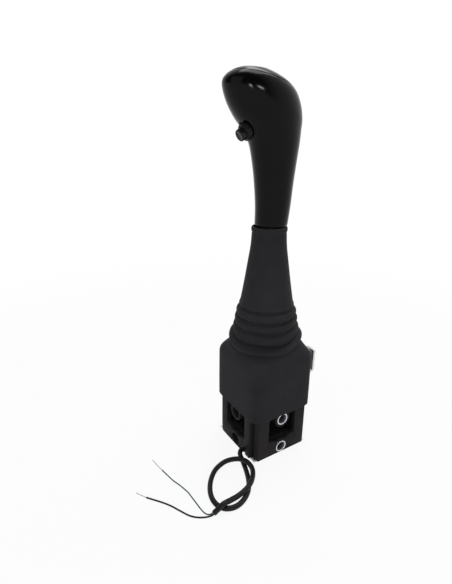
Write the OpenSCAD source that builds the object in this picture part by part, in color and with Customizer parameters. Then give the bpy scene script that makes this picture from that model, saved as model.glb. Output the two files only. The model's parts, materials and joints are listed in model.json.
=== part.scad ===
// Two-axis cable-control joystick: square cast housing, gimbal, rubber boot, palm grip with push-button
// and a short two-core lead. Millimetres, +Z up, origin at the middle of the housing's bottom edge.
// The push-button and the grip's nose face -Y, the brake tab stands out at +Y.

/* [Housing] */
// Width of the housing across opposite faces
body_w = 60; // [58:0.5:66]
// Height of the housing, bottom edge to top rim
body_h = 84; // [80:1:90]
// Thickness of the four walls
wall_t = 5; // [4.5:0.1:5.2]
// Depth of the step at each vertical corner, beside the two faces with plain holes
step_depth = 3; // [2.5:0.1:3.4]
// Width of that step
step_width = 7; // [6:0.5:8]
// Radius of the vertical edges of the two faces with threaded inserts
edge_r = 2; // [1:0.1:2.4]
// Width of the access window in each face
window_w = 29; // [26:0.5:31]
// Height of the window's sill
window_low = 15.3; // [15:0.1:16]
// Height of the window's lintel
window_high = 39.4; // [38:0.1:39.8]
// Depth of the notch in the middle of the sill
sill_notch = 2.4; // [1.5:0.1:2.5]
// Radius of the housing's corner posts
post_r = 4; // [3.4:0.1:4.2]

/* [Fixing holes] */
// Height of the lower fixing hole above the bottom edge
fix_low_z = 6.1; // [6:0.05:6.3]
// Distance between the lower and the upper fixing hole
fix_pitch = 29.6; // [28:0.1:30.5]
// Core radius of the M8 thread in an insert
insert_bore_r = 3.4; // [3:0.05:3.6]
// Radius of an insert's flange
insert_flange_r = 5.5; // [5.2:0.1:5.8]
// Radius of an insert's body
insert_body_r = 4.8; // [4.6:0.05:5]
// Radius of the plain holes
plain_bore_r = 5.5; // [5:0.1:5.6]
// Radius of the boss round each hole, as thick as the wall
boss_r = 7.6; // [7:0.1:7.8]
// Radius of the boss behind the wall, under the cable plate
boss_tail_r = 6.4; // [6.2:0.1:6.5]
// Length of hole and boss together
boss_len = 8; // [6.5:0.1:8.4]

/* [Cable plate] */
// Underside of the cable plate
plate_z = 12.8; // [12.6:0.1:13.2]
// Thickness of the cable plate
plate_t = 2.5; // [2:0.1:2.6]
// Radius of a cable port
port_r = 4; // [3:0.1:4.2]

/* [Gimbal] */
// Height of both tilt axes
pivot_z = 68; // [67.5:0.5:70]
// Outer radius of the gimbal ring
ring_r = 18.5; // [17.8:0.1:18.6]
// Radial thickness of the gimbal ring
ring_t = 4.5; // [4:0.1:4.6]
// Height of the gimbal ring
ring_h = 10; // [9:0.5:10.5]
// Radius of the trunnion pins
trunnion_r = 3; // [2.5:0.1:3.2]
// Outer radius of the flanged bushes
bush_r = 4; // [3.8:0.1:4.2]
// Reach of the ears that drive the cable forks
ear_reach = 12; // [10.5:0.5:12.5]
// Radius of the fork pins
fork_pin_r = 2; // [1.6:0.1:2.2]
// Length of a cable fork below its pin
fork_len = 24; // [18:1:26]
// Drop from the pivot to the tail's ball
tail_drop = 22; // [20:0.5:22.5]
// Radius of the ball on the lever's tail
ball_r = 5; // [4:0.1:5.2]
// Side clearance of the ball in the bail's slot
ball_gap = 0.6; // [0.5:0.05:0.8]

/* [Lever] */
// Outer radius of the lever tube
tube_r = 7; // [6:0.1:7.5]
// Wall of the lever tube
tube_wall = 2; // [1.5:0.1:2.5]
// Reach of the tube into the grip
tube_reach = 42.4; // [34:0.2:46]
// Radius of the hub in the gimbal
hub_r = 11; // [10:0.1:11.2]

/* [Grip] */
// Height of the grip's bottom end
grip_low_z = 203.6; // [203.4:0.1:206]
// Wall of the grip's hollow head
grip_wall = 3; // [2.5:0.1:3.5]
// Slope of the joint between grip and cap, in degrees
cap_slope = 11; // [8:0.5:14]
// Height of that joint above the grip's bottom end, on the grip's axis
cap_rise = 100.9; // [99.5:0.1:102]

/* [Push-button] */
// Downward tilt of the button's axis, in degrees
button_tilt = 28; // [24:1:32]
// Radius of the button's bezel nut
bezel_r = 7; // [6.5:0.1:7.5]
// Radius of the moving cap
plunger_r = 4.7; // [4.2:0.1:5]
// Travel of the cap
button_travel = 1.8; // [1.2:0.1:2.2]

/* [Boot] */
// Height of the boot's hem
hem_z = 41.7; // [40:0.1:43]
// Thickness of the boot's rubber
boot_t = 1.2; // [1:0.1:1.5]
// Corner radius of the boot's square skirt
skirt_corner_r = 8; // [6.5:0.1:8]
// Rise of the skirt's shoulder above the housing's rim
shoulder_rise = 13; // [11.5:0.1:14]
// Radius of the boot's top rim
rim_r = 13.9; // [13.7:0.1:14.2]

/* [Brake lever] */
// Height of the brake lever's pin
brake_z = 55.3; // [54.5:0.1:57]
// Width of the brake lever's strip
brake_w = 12; // [10:0.5:13]
// Thickness of the strip
brake_t = 2.2; // [1.8:0.1:2.5]
// Distance from the middle of the housing to the tab's outer face
tab_y = 57.9; // [54:0.1:60]
// Height of the tab's top end
tab_top_z = 77.7; // [74:0.1:82]

/* [Lead] */
// Radius of the two-core lead
lead_r = 2.1; // [2:0.05:2.15]
// Radius of the thicker insulated wire, also of the switch's wires
wire_r = 0.65; // [0.5:0.05:0.7]
// Radius of the thinner insulated wire
thin_wire_r = 0.5; // [0.4:0.05:0.6]

/* [Hidden] */
$fn = 48;
eps = 0.01;
gap = 0.3;               // gap between touching pieces of different bodies
run = 0.05;              // radial running clearance of a pin in its bore
fit = 0.02;              // radial clearance of pieces that are fixed together
half = body_w / 2;
inner = half - wall_t;
post_c = inner - post_r;
fix_high_z = fix_low_z + fix_pitch;
plate_top_z = plate_z + plate_t;
ring_in_r = ring_r - ring_t;
tube_top_z = grip_low_z + tube_reach;
shoulder_z = body_h + shoulder_rise;
cap_z = grip_low_z + cap_rise;

// groove beside each narrow face, and the rounded feet of the four faces: angle of the face, side, radius
side_face_w = body_w - 2 * step_depth;
front_face_w = body_w - 2 * step_width;
channel_x0 = front_face_w / 2;
channel_w = 2.2;
channel_depth = 0.8;
foot_corners = [[270, 1, 5], [0, -1, 2.5], [270, -1, 2], [0, 1, 2], [90, 1, 2], [90, -1, 2],
    [180, 1, 2], [180, -1, 2]];
// half widths of the sill's notch, at the sill and at its bottom
sill_notch_half = [9.5, 6.5];

// plates and forks beside the walls: inner face of an ear or arm, its thickness, middle of a fork
ear_t = 2.5;
ear_x = inner - 4.4;
bail_t = 2.5;
bail_y = inner - 3.8;
fork_t = 2;
fork_shank_r = 2.2;
fork_c = ear_x - fork_shank_r;
cable_ports = [[fork_c, ear_reach], [-ear_reach, -fork_c]];

// lead exit through the foot of the front wall
exit_x = 13;
exit_z = 3.8;
notch_w = 2 * lead_r + 2.6;
notch_h = exit_z + lead_r + 1.3;

// cavity inside the boot, grip stations and button place
grip_bore_top_z = tube_top_z + 6;
button_y = -23.5;
button_z = grip_low_z + 70.1;
button_hole_r = plunger_r + 1.3;

// ---------- shared shapes ----------

// box with rounded vertical edges, centred in x and y
module rounded_box(w, d, h, r) {
    linear_extrude(h) {
        square([w - 2 * r, d], center = true);
        square([w, d - 2 * r], center = true);
        for (sx = [-1, 1], sy = [-1, 1])
            translate([sx * (w / 2 - r), sy * (d / 2 - r)])
                circle(r);
    }
}

// cylinder along X from x0 to x1
module rod_x(r, x0, x1) {
    translate([x0, 0, 0])
        rotate([0, 90, 0])
            cylinder(r = r, h = x1 - x0);
}

// cylinder along Y from y0 to y1
module rod_y(r, y0, y1) {
    translate([0, y0, 0])
        rotate([-90, 0, 0])
            cylinder(r = r, h = y1 - y0);
}

// flanged plain bush along Z, its flange below zero
module flanged_bush(r_out, r_in, len, flange_r, flange_t) {
    difference() {
        union() {
            cylinder(r = r_out, h = len);
            translate([0, 0, -flange_t])
                cylinder(r = flange_r, h = flange_t);
        }
        translate([0, 0, -flange_t - 1])
            cylinder(r = r_in, h = len + flange_t + 2);
    }
}

// round tube swept along a list of points
function unit(v) = v / norm(v);
function tangent(p, i) = unit(p[min(i + 1, len(p) - 1)] - p[max(i - 1, 0)]);
function side(t) = unit(cross(t, abs(t[2]) > 0.9 ? [1, 0, 0] : [0, 0, 1]));
function ring_of(c, t, r, n) = [for (k = [0 : n - 1])
    c + r * (cos(360 * k / n) * side(t) + sin(360 * k / n) * cross(side(t), t))];
module swept_tube(p, r, n) {
    rings = [for (i = [0 : len(p) - 1]) each ring_of(p[i], tangent(p, i), r, n)];
    last = (len(p) - 1) * n;
    faces = concat(
        [[for (k = [n - 1 : -1 : 0]) k]],
        [for (i = [0 : len(p) - 2], k = [0 : n - 1])
            [i * n + k, i * n + (k + 1) % n, (i + 1) * n + (k + 1) % n, (i + 1) * n + k]],
        [[for (k = [0 : n - 1]) last + k]]);
    polyhedron(rings, faces, convexity = 6);
}

// ---------- housing ----------

module housing_outline() {
    square([body_w - 2 * edge_r, side_face_w], center = true);
    square([body_w, side_face_w - 2 * edge_r], center = true);
    for (sx = [-1, 1], sy = [-1, 1])
        translate([sx * (half - edge_r), sy * (side_face_w / 2 - edge_r)])
            circle(edge_r);
    square([front_face_w, body_w], center = true);
}

module corner_posts(z0, z1) {
    for (sx = [-1, 1], sy = [-1, 1])
        translate([sx * post_c, sy * post_c, z0]) {
            cylinder(r = post_r, h = z1 - z0);
            translate([sx > 0 ? 0 : -post_r, sy > 0 ? -post_r : 0, 0])
                cube([post_r, post_r, z1 - z0]);
            translate([sx > 0 ? -post_r : 0, sy > 0 ? 0 : -post_r, 0])
                cube([post_r, post_r, z1 - z0]);
            translate([sx > 0 ? 0 : -post_r, sy > 0 ? 0 : -post_r, 0])
                cube([post_r, post_r, z1 - z0]);
        }
}

// vertical groove beside each narrow face
module corner_channels() {
    for (sx = [-1, 1], sy = [-1, 1])
        mirror([sx < 0 ? 1 : 0, 0, 0])
            mirror([0, sy > 0 ? 1 : 0, 0])
                translate([channel_x0, -half - 1, -1])
                    cube([channel_w, step_depth + channel_depth + 1, body_h + 2]);
}

// rounded lower corners of the faces, as deep as the corner step
module foot_roundings() {
    for (c = foot_corners) {
        r = c[2];
        w = (c[0] % 180 == 0 ? side_face_w : front_face_w) / 2;
        rotate([0, 0, c[0]])
            mirror([0, c[1] < 0 ? 1 : 0, 0])
                translate([half - step_depth, w - r, 0])
                    difference() {
                        translate([0, 0, -1])
                            cube([step_depth + 1, r + 1, r + 1]);
                        translate([-1, 0, r])
                            rotate([0, 90, 0])
                                cylinder(r = r, h = step_depth + 3);
                    }
    }
}

// window through the wall at +X with a notch in its sill, turned to the four faces
module window_cut() {
    corner_r = 1.5;
    translate([inner - boss_len, 0, (window_low + window_high) / 2])
        rotate([0, 90, 0])
            rounded_box(window_high - window_low, window_w, boss_len + wall_t + 1, corner_r);
    top = window_low + corner_r;
    low = window_low - sill_notch;
    translate([inner - 1, 0, 0])
        rotate([90, 0, 90])
            linear_extrude(wall_t + 2)
                polygon([[-sill_notch_half[1], low], [sill_notch_half[1], low],
                    [sill_notch_half[0], window_low], [sill_notch_half[0], top],
                    [-sill_notch_half[0], top], [-sill_notch_half[0], window_low]]);
}

module face_boss(z) {
    translate([0, 0, z]) {
        rod_x(boss_tail_r, half - boss_len, half);
        rod_x(boss_r, inner, half);
    }
}

module each_face() {
    for (a = [0, 90, 180, 270])
        rotate([0, 0, a])
            children();
}

module lead_notch() {
    translate([exit_x - notch_w / 2, -half - 1, -1])
        cube([notch_w, wall_t + 2, notch_h - notch_w / 2 + 1]);
    translate([exit_x, -half - 1, notch_h - notch_w / 2])
        rotate([-90, 0, 0])
            cylinder(d = notch_w, h = wall_t + 2);
}

// slot in the rear wall for the brake lever
module brake_slot() {
    slot_low = 5;
    slot_high = 4.2;
    translate([-brake_w / 2 - 0.6, inner - 1, brake_z - slot_low])
        cube([brake_w + 1.2, wall_t + 2, slot_low + slot_high]);
}

module housing() {
    pilot_r = 1.65;
    pilot_depth = 12;
    brake_pin_reach = brake_w / 2 + 6;
    color([0.16, 0.16, 0.17])
        difference() {
            union() {
                difference() {
                    linear_extrude(body_h) housing_outline();
                    translate([-inner, -inner, -1])
                        cube([2 * inner, 2 * inner, body_h + 2]);
                    each_face() window_cut();
                }
                corner_posts(plate_top_z, body_h);
                intersection() {
                    each_face() {
                        face_boss(fix_low_z);
                        face_boss(fix_high_z);
                    }
                    translate([-half, -half, 0])
                        cube([body_w, body_w, body_h]);
                }
            }
            corner_channels();
            foot_roundings();
            // insert seats at +-X
            for (a = [0, 180], z = [fix_low_z, fix_high_z])
                rotate([0, 0, a])
                    translate([0, 0, z]) {
                        rod_x(insert_body_r, half - boss_len - 1, half + 1);
                        rod_x(insert_flange_r, half - 1, half + 1);
                    }
            // plain holes at +-Y
            for (a = [90, 270], z = [fix_low_z, fix_high_z])
                rotate([0, 0, a])
                    translate([0, 0, z])
                        rod_x(plain_bore_r, half - boss_len - 1, half + 1);
            // bearing seats
            each_face()
                translate([0, 0, pivot_z])
                    rod_x(bush_r, inner - 1, half + 1);
            // plate screw pilots
            for (sx = [-1, 1], sy = [-1, 1])
                translate([sx * post_c, sy * post_c, plate_top_z - 1])
                    cylinder(r = pilot_r, h = pilot_depth + 1);
            lead_notch();
            brake_slot();
            translate([0, half - wall_t / 2, brake_z])
                rod_x(1.5 + fit, -brake_pin_reach, brake_pin_reach);
        }
}

module cable_plate() {
    clearance_r = 2.2;
    color([0.55, 0.56, 0.57])
        difference() {
            translate([0, 0, plate_z])
                rounded_box(2 * inner - 0.4, 2 * inner - 0.4, plate_t, 1);
            for (sx = [-1, 1], sy = [-1, 1])
                translate([sx * post_c, sy * post_c, plate_z - 1])
                    cylinder(r = clearance_r, h = plate_t + 2);
            for (p = cable_ports)
                translate([p[0], p[1], plate_z - 1])
                    cylinder(r = port_r, h = plate_t + 2);
            translate([lead_x, lead_y, plate_z - 1])
                cylinder(r = lead_r + 0.6, h = plate_t + 2);
        }
}

module plate_screws() {
    head_r = 3.6;
    head_h = 2.4;
    shank_r = 1.65 - fit;
    color([0.6, 0.6, 0.62])
        for (sx = [-1, 1], sy = [-1, 1])
            translate([sx * post_c, sy * post_c, 0])
                difference() {
                    union() {
                        translate([0, 0, plate_z - head_h])
                            cylinder(r = head_r, h = head_h);
                        translate([0, 0, plate_z - eps])
                            cylinder(r = shank_r, h = plate_t + 9);
                    }
                    translate([0, 0, plate_z - head_h - 1])
                        cylinder(r = 1.5, h = 2.2, $fn = 6);
                }
}

// flanged threaded bush along X, pressed into the side faces
module threaded_inserts() {
    flange_t = 1;
    proud = 0.3;
    chamfer = 0.3;
    color([0.8, 0.8, 0.82])
        for (a = [0, 180], z = [fix_low_z, fix_high_z])
            rotate([0, 0, a])
                translate([half + proud, 0, z])
                    rotate([0, -90, 0])
                        rotate_extrude()
                            polygon([
                                [insert_bore_r + chamfer, 0], [insert_flange_r - fit, 0],
                                [insert_flange_r - fit, flange_t + proud],
                                [insert_body_r - fit, flange_t + proud],
                                [insert_body_r - fit, boss_len + proud], [insert_bore_r, boss_len + proud],
                                [insert_bore_r, chamfer]]);
}

module wall_bush() {
    flange_r = 5.6;
    flange_t = 0.9;
    rotate([0, 90, 0])
        translate([0, 0, inner])
            flanged_bush(bush_r - fit, trunnion_r + run, wall_t - 0.2, flange_r, flange_t);
}

module ring_bushes() {
    color([0.72, 0.6, 0.32])
        for (a = [0, 180])
            rotate([0, 0, a])
                translate([0, 0, pivot_z])
                    wall_bush();
}

module bail_bushes() {
    color([0.72, 0.6, 0.32])
        for (a = [90, 270])
            rotate([0, 0, a])
                translate([0, 0, pivot_z])
                    wall_bush();
}

module brake_pin() {
    reach = brake_w / 2 + 5.8;
    color([0.7, 0.7, 0.72])
        translate([0, half - wall_t / 2, brake_z])
            rod_x(1.5, -reach, reach);
}

// ---------- boot ----------

// bellows above the skirt: radius, and height above the shoulder
folds = [[30.4, 0.8], [31.3, 3.3], [31.8, 6], [31.2, 8.7], [29.2, 11.2], [27.8, 14], [28.5, 17.6],
    [28, 19.7], [26.1, 22.9], [26.9, 26.3], [26.4, 28.5], [24.9, 30.5], [25.7, 33], [25.4, 34.7],
    [23.1, 37.4], [23.4, 39.6], [22.4, 42.9]];
bellows_t = 2;
rim_t = 1;
rim_z = grip_low_z - 0.6;

// outer profile of the boot above the skirt: radius and height, bottom to top
bellows = concat([for (f = folds) [f[0], shoulder_z + f[1]]], [[rim_r + 0.5, rim_z - 12.7]]);

module skirt_shell(grow, z0, z1) {
    w = body_w + 2 * (gap + grow);
    translate([0, 0, z0])
        rounded_box(w, w, z1 - z0, skirt_corner_r - boot_t + grow);
}

module boot() {
    skirt_top_z = body_h + gap + 1.5 + boot_t;
    slot_w = brake_w + 3;
    color([0.2, 0.2, 0.205])
        difference() {
            union() {
                difference() {
                    skirt_shell(boot_t, hem_z, skirt_top_z);
                    skirt_shell(0, hem_z - 1, skirt_top_z - boot_t);
                }
                shoulder_shell(skirt_top_z);
                rotate_extrude()
                    polygon(concat(
                        [[bellows[0][0] - bellows_t, shoulder_z - 0.5]],
                        [[bellows[0][0], shoulder_z - 0.5]],
                        bellows,
                        [[rim_r - 0.3, rim_z - 3], [rim_r, rim_z - 2], [rim_r, rim_z - 0.8],
                            [rim_r - 0.5, rim_z], [rim_r - rim_t, rim_z], [rim_r - rim_t, rim_z - 5]],
                        [for (i = [len(bellows) - 1 : -1 : 0]) bellows[i] - [bellows_t, -0.4]]));
            }
            translate([0, 0, skirt_top_z - boot_t - eps])
                cylinder(r1 = bellows[0][0] - 1.2, r2 = bellows[0][0] - bellows_t,
                    h = shoulder_z - skirt_top_z + boot_t + 0.5);
            translate([-slot_w / 2, half - 1, brake_z - 4])
                cube([slot_w, 4, 8.5]);
        }
}

// the square skirt closing to the round bellows
module shoulder_shell(z0) {
    w = body_w + 2 * (gap + boot_t);
    hull() {
        translate([0, 0, z0 - 0.5])
            rounded_box(w, w, 0.5, skirt_corner_r, $fn = 32);
        translate([0, 0, shoulder_z - 0.5])
            cylinder(r = bellows[0][0], h = 0.5);
    }
}

// ---------- gimbal ring: tilts about X ----------

module gimbal_ring() {
    color([0.5, 0.5, 0.52])
        translate([0, 0, pivot_z])
            difference() {
                union() {
                    translate([0, 0, -ring_h / 2])
                        cylinder(r = ring_r, h = ring_h);
                    // ear plate at +X that drives the fork
                    rod_x(ring_h / 2, ring_r - 2, ear_x + ear_t);
                    translate([0, ear_reach, 0])
                        rod_x(fork_pin_r + 2, fork_c + fork_t / 2 + gap, ear_x + ear_t);
                    translate([ear_x, 0, -fork_pin_r - 2])
                        cube([ear_t, ear_reach, 2 * fork_pin_r + 4]);
                }
                translate([0, 0, -ring_h / 2 - 1])
                    cylinder(r = ring_in_r, h = ring_h + 2);
                for (a = [0, 180])
                    rotate([0, 0, a])
                        rod_x(trunnion_r + fit, ring_in_r - 1, ear_x + ear_t + 1);
                rod_y(trunnion_r + run, -ring_r - 1, ring_r + 1);
                translate([0, ear_reach, 0])
                    rod_x(fork_pin_r + fit, fork_c, ear_x + ear_t + 1);
            }
}

module ring_trunnions() {
    color([0.75, 0.75, 0.77])
        for (a = [0, 180])
            rotate([0, 0, a])
                translate([0, 0, pivot_z])
                    rod_x(trunnion_r, ring_in_r + 0.3, half - 0.6);
}

// fork pin along +Z from the underside of its head
module fork_pin(length) {
    head_r = fork_pin_r + 1.2;
    head_t = 0.8;
    cylinder(r = fork_pin_r, h = length);
    translate([0, 0, -head_t])
        cylinder(r = head_r, h = head_t);
}

module ring_fork_pin() {
    color([0.75, 0.75, 0.77])
        translate([ear_x + ear_t, ear_reach, pivot_z])
            rotate([0, -90, 0])
                fork_pin(ear_x + ear_t - fork_c + fork_t / 2 + gap);
}

// ---------- cable forks: hang from the ears ----------

// flat eye with a round shank and a threaded end, hanging from the origin, flat across X
module cable_fork() {
    eye_r = fork_pin_r + 1.8;
    thread_r = 1.25;
    thread_len = 10;
    eye_h = 9;
    difference() {
        union() {
            rod_x(eye_r, -fork_t / 2, fork_t / 2);
            translate([-fork_t / 2, -eye_r, -eye_h])
                cube([fork_t, 2 * eye_r, eye_h]);
            translate([0, 0, -fork_len])
                cylinder(r = fork_shank_r, h = fork_len - eye_h + 1);
        }
        rod_x(fork_pin_r + run, -fork_t, fork_t);
        translate([0, 0, -fork_len - 1])
            cylinder(r = thread_r, h = thread_len + 1);
    }
}

module ring_fork() {
    color([0.7, 0.7, 0.72])
        translate([fork_c, ear_reach, pivot_z])
            cable_fork();
}

module bail_fork() {
    color([0.7, 0.7, 0.72])
        translate([-ear_reach, -fork_c, pivot_z])
            rotate([0, 0, 90])
                cable_fork();
}

// ---------- bail: tilts about Y and follows the lever's tail ----------

module bail() {
    arm_w = 14;
    arm_low = tail_drop + 2;
    bar_w = 2 * (ball_r + ball_gap) + 4.8;
    bar_t = 4;
    slot_len = 2 * (ball_r + 8);
    color([0.45, 0.45, 0.47])
        translate([0, 0, pivot_z])
            difference() {
                union() {
                    for (s = [-1, 1]) {
                        y0 = s > 0 ? bail_y : -bail_y - bail_t;
                        rod_y(arm_w / 2, y0, y0 + bail_t);
                        translate([-arm_w / 2, y0, -tail_drop])
                            cube([arm_w, bail_t, tail_drop]);
                        translate([-bar_w / 2, y0, -tail_drop - bar_t / 2])
                            cube([bar_w, bail_t, bar_t]);
                    }
                    translate([-bar_w / 2, -bail_y, -tail_drop - bar_t / 2])
                        cube([bar_w, 2 * bail_y, bar_t]);
                    // ear on the front arm that drives the fork
                    translate([-ear_reach, -bail_y - bail_t, -fork_pin_r - 2])
                        cube([ear_reach, bail_t, 2 * fork_pin_r + 4]);
                    translate([-ear_reach, 0, 0])
                        rod_y(fork_pin_r + 2, -bail_y - bail_t, -fork_c - fork_t / 2 - gap);
                }
                rod_y(trunnion_r + fit, -half, half);
                translate([-ear_reach, 0, 0])
                    rod_y(fork_pin_r + fit, -half, 0);
                // slot for the ball
                translate([-ball_r - ball_gap, -slot_len / 2 + ball_r, -arm_low - 2])
                    cube([2 * (ball_r + ball_gap), slot_len - 2 * ball_r, bar_t + 4]);
                for (s = [-1, 1])
                    translate([0, s * (slot_len / 2 - ball_r), -arm_low - 2])
                        cylinder(r = ball_r + ball_gap, h = bar_t + 4);
                // relief beside the hanging fork
                translate([1 - bar_w, -bail_y - eps, -arm_low - 2])
                    cube([bar_w, bail_y - slot_len / 2 - 1.5, bar_t + 4]);
            }
}

module bail_trunnions() {
    color([0.75, 0.75, 0.77])
        for (s = [-1, 1])
            translate([0, 0, pivot_z])
                mirror([0, s < 0 ? 1 : 0, 0])
                    rod_y(trunnion_r, bail_y + 0.1, half - 0.6);
}

module bail_fork_pin() {
    color([0.75, 0.75, 0.77])
        translate([-ear_reach, -bail_y - bail_t, pivot_z])
            rotate([-90, 0, 0])
                fork_pin(bail_y + bail_t - fork_c + fork_t / 2 + gap);
}

// ---------- lever ----------

module lever_hub() {
    hub_h = 10;
    socket_z = 3.5;
    hub_boss_r = trunnion_r + 3;
    hub_boss_y = sqrt(ring_in_r * ring_in_r - hub_boss_r * hub_boss_r) - gap;
    color([0.5, 0.5, 0.52])
        translate([0, 0, pivot_z])
            difference() {
                union() {
                    translate([0, 0, -hub_h])
                        cylinder(r = hub_r, h = 2 * hub_h);
                    rod_y(hub_boss_r, -hub_boss_y, hub_boss_y);
                }
                rod_y(trunnion_r + fit, -half, half);
                translate([0, 0, socket_z + 1])
                    cylinder(r = tube_r + fit, h = hub_h);
                translate([0, 0, -hub_h - 1])
                    cylinder(r = 3 + fit, h = hub_h - 3 - 1.5);
                // way for the switch leads
                translate([0, 0, socket_z + 3])
                    rod_x(1.6, 0, hub_r + 1);
            }
}

module hub_pin() {
    color([0.75, 0.75, 0.77])
        translate([0, 0, pivot_z])
            rod_y(trunnion_r, -ring_r + 0.5, ring_r - 0.5);
}

module lever_tail() {
    color([0.75, 0.75, 0.77])
        translate([0, 0, pivot_z - tail_drop]) {
            sphere(r = ball_r);
            cylinder(r = 3, h = tail_drop - 10 + 4.5 - eps);
        }
}

module lever_tube() {
    low_z = pivot_z + 4.5;
    color([0.6, 0.6, 0.62])
        difference() {
            translate([0, 0, low_z])
                cylinder(r = tube_r, h = tube_top_z - low_z);
            translate([0, 0, low_z - 1])
                cylinder(r = tube_r - tube_wall, h = tube_top_z - low_z + 2);
            translate([0, 0, pivot_z + 6.5])
                rod_x(1.6, 0, tube_r + 1);
        }
}

module tube_jam_nut() {
    nut_r = tube_r + 3.4;
    color([0.6, 0.6, 0.62])
        translate([0, 0, pivot_z + 10])
            difference() {
                cylinder(r = nut_r, h = 6, $fn = 6);
                translate([0, 0, -1])
                    cylinder(r = tube_r + fit, h = 8);
            }
}

// ---------- grip ----------

// cross-sections of the grip above its bottom end: rise, front, back, half width
grip_stations = [[0, -12, 14.5, 13.2], [15.5, -12, 16.5, 13.8], [33, -13.5, 18, 14.8], [48, -15.7, 19.6, 16.2],
    [61.5, -19, 21.2, 17.6], [70.5, -24.5, 21.8, 19], [78.5, -31.8, 22, 20.8], [87.5, -38, 20, 21.5],
    [96, -41.6, 15.4, 21], [101.8, -42.2, 8.6, 19], [106, -39, 0.2, 15.4], [109, -33.5, -8, 10.7]];
crown = [110.7, -23.3];

function spline(a, b, c, d, t) =
    0.5 * (2 * b + (c - a) * t + (2 * a - 5 * b + 4 * c - d) * t * t + (3 * b - a - 3 * c + d) * t * t * t);
function stations(s, sub) = let (n = len(s))
    [for (i = [0 : n - 2], k = [0 : sub - 1])
        spline(s[max(i - 1, 0)], s[i], s[i + 1], s[min(i + 2, n - 1)], k / sub), s[n - 1]];
function oval(st, off, n) = let (yc = (st[1] + st[2]) / 2, b = (st[2] - st[1]) / 2 - off, w = st[3] - off)
    [for (k = [0 : n - 1]) [w * cos(360 * k / n), yc + b * sin(360 * k / n), grip_low_z + st[0]]];

// closed loft of the stations up to a crown point
module grip_loft(off, low, n, sub) {
    st = [for (s = stations(grip_stations, sub)) if (s[0] >= low && s[3] > off + 2) s];
    rings = [for (s = st) each oval(s, off, n)];
    m = len(st);
    top = [0, crown[1], grip_low_z + crown[0] - off];
    faces = concat(
        [[for (k = [0 : n - 1]) k]],
        [for (i = [0 : m - 2], k = [0 : n - 1])
            [i * n + k, (i + 1) * n + k, (i + 1) * n + (k + 1) % n, i * n + (k + 1) % n]],
        [for (k = [0 : n - 1]) [(m - 1) * n + k, m * n, (m - 1) * n + (k + 1) % n]]);
    polyhedron(concat(rings, [top]), faces, convexity = 6);
}

// half-space above the joint between grip and cap
module above_joint(lift) {
    translate([0, 0, cap_z + lift])
        rotate([-cap_slope, 0, 0])
            translate([-60, -90, 0])
                cube([120, 150, 60]);
}

module at_button() {
    translate([0, button_y, button_z])
        rotate([90 + button_tilt, 0, 0])
            children();
}

// ribs across the hollow head, each with a boss for one of the cap's pins
cap_boss_y = [-20, 5];
cap_rib_z = cap_z - 17.5;
cap_boss_r = 3.4;
module cap_ribs() {
    rib_t = 3;
    for (y = cap_boss_y)
        translate([0, y, cap_rib_z]) {
            cylinder(r = cap_boss_r, h = 60);
            translate([-rib_t / 2, y < 0 ? -40 : 0, 0])
                cube([rib_t, 40, 60]);
        }
}

module grip_shell() {
    pocket_rise = grip_bore_top_z - grip_low_z + 4;
    station_gap = 16;
    color([0.05, 0.05, 0.055])
        difference() {
            union() {
                difference() {
                    grip_loft(0, 0, 40, 2);
                    grip_loft(grip_wall, pocket_rise, 24, 1);
                }
                intersection() {
                    grip_loft(0.5, 0, 40, 2);
                    at_button()
                        translate([0, 0, -7])
                            cylinder(r = button_hole_r + 2, h = 12);
                }
                intersection() {
                    grip_loft(0.5, 0, 40, 2);
                    cap_ribs();
                }
            }
            above_joint(0);
            translate([0, 0, grip_low_z - 1])
                cylinder(r = tube_r + fit, h = tube_top_z - grip_low_z + 1.5);
            translate([0, 0, tube_top_z])
                cylinder(r = tube_r - tube_wall, h = pocket_rise + grip_low_z - tube_top_z + station_gap);
            at_button()
                translate([0, 0, -9])
                    cylinder(r = button_hole_r, h = 30);
            at_button()
                cylinder(r = bezel_r + 0.6, h = 30);
            for (y = cap_boss_y)
                translate([0, y, cap_rib_z - 1])
                    cylinder(r = cap_pin_r, h = 60);
            // set screw through the neck at the back
            translate([0, 0, set_screw_z])
                rod_y(2 + fit, tube_r - 1, 30);
        }
}
set_screw_z = grip_low_z + 25;

module grip_set_screw() {
    color([0.3, 0.3, 0.31])
        translate([0, 0, set_screw_z])
            difference() {
                rod_y(2, tube_r + 0.05, tube_r + 6);
                translate([0, tube_r + 4.5, 0])
                    rotate([-90, 0, 0])
                        cylinder(r = 1.1, h = 3, $fn = 6);
            }
}

module grip_cap() {
    color([0.07, 0.07, 0.075])
        difference() {
            intersection() {
                grip_loft(0, 0, 40, 2);
                above_joint(0);
            }
            difference() {
                grip_loft(grip_wall, 60, 24, 1);
                above_joint(grip_wall);
                for (y = cap_boss_y)
                    translate([0, y, cap_rib_z])
                        cylinder(r = cap_boss_r, h = 60);
            }
            for (y = cap_boss_y)
                translate([0, y, cap_rib_z])
                    cylinder(r = cap_pin_r, h = cap_joint_z(y) - cap_rib_z + 1.5);
        }
}
function cap_joint_z(y) = cap_z - y * tan(cap_slope);
cap_pin_r = 1.25;

// pins of the cap, pressed down into the bosses of the grip
module cap_pins() {
    color([0.1, 0.1, 0.1])
        for (y = cap_boss_y)
            translate([0, y, cap_joint_z(y) - 8])
                cylinder(r = cap_pin_r - fit, h = 9.5);
}

// ---------- push-button ----------

module button_barrel() {
    color([0.12, 0.12, 0.12])
        at_button()
            difference() {
                union() {
                    translate([0, 0, -8])
                        cylinder(r = button_hole_r - fit, h = 12);
                    cylinder(r = bezel_r - 1, h = 5.2);
                }
                translate([0, 0, -5])
                    cylinder(r = plunger_r + 0.08, h = 20);
                translate([0, 0, -9])
                    cylinder(r = 1.6, h = 6);
            }
}

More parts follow.
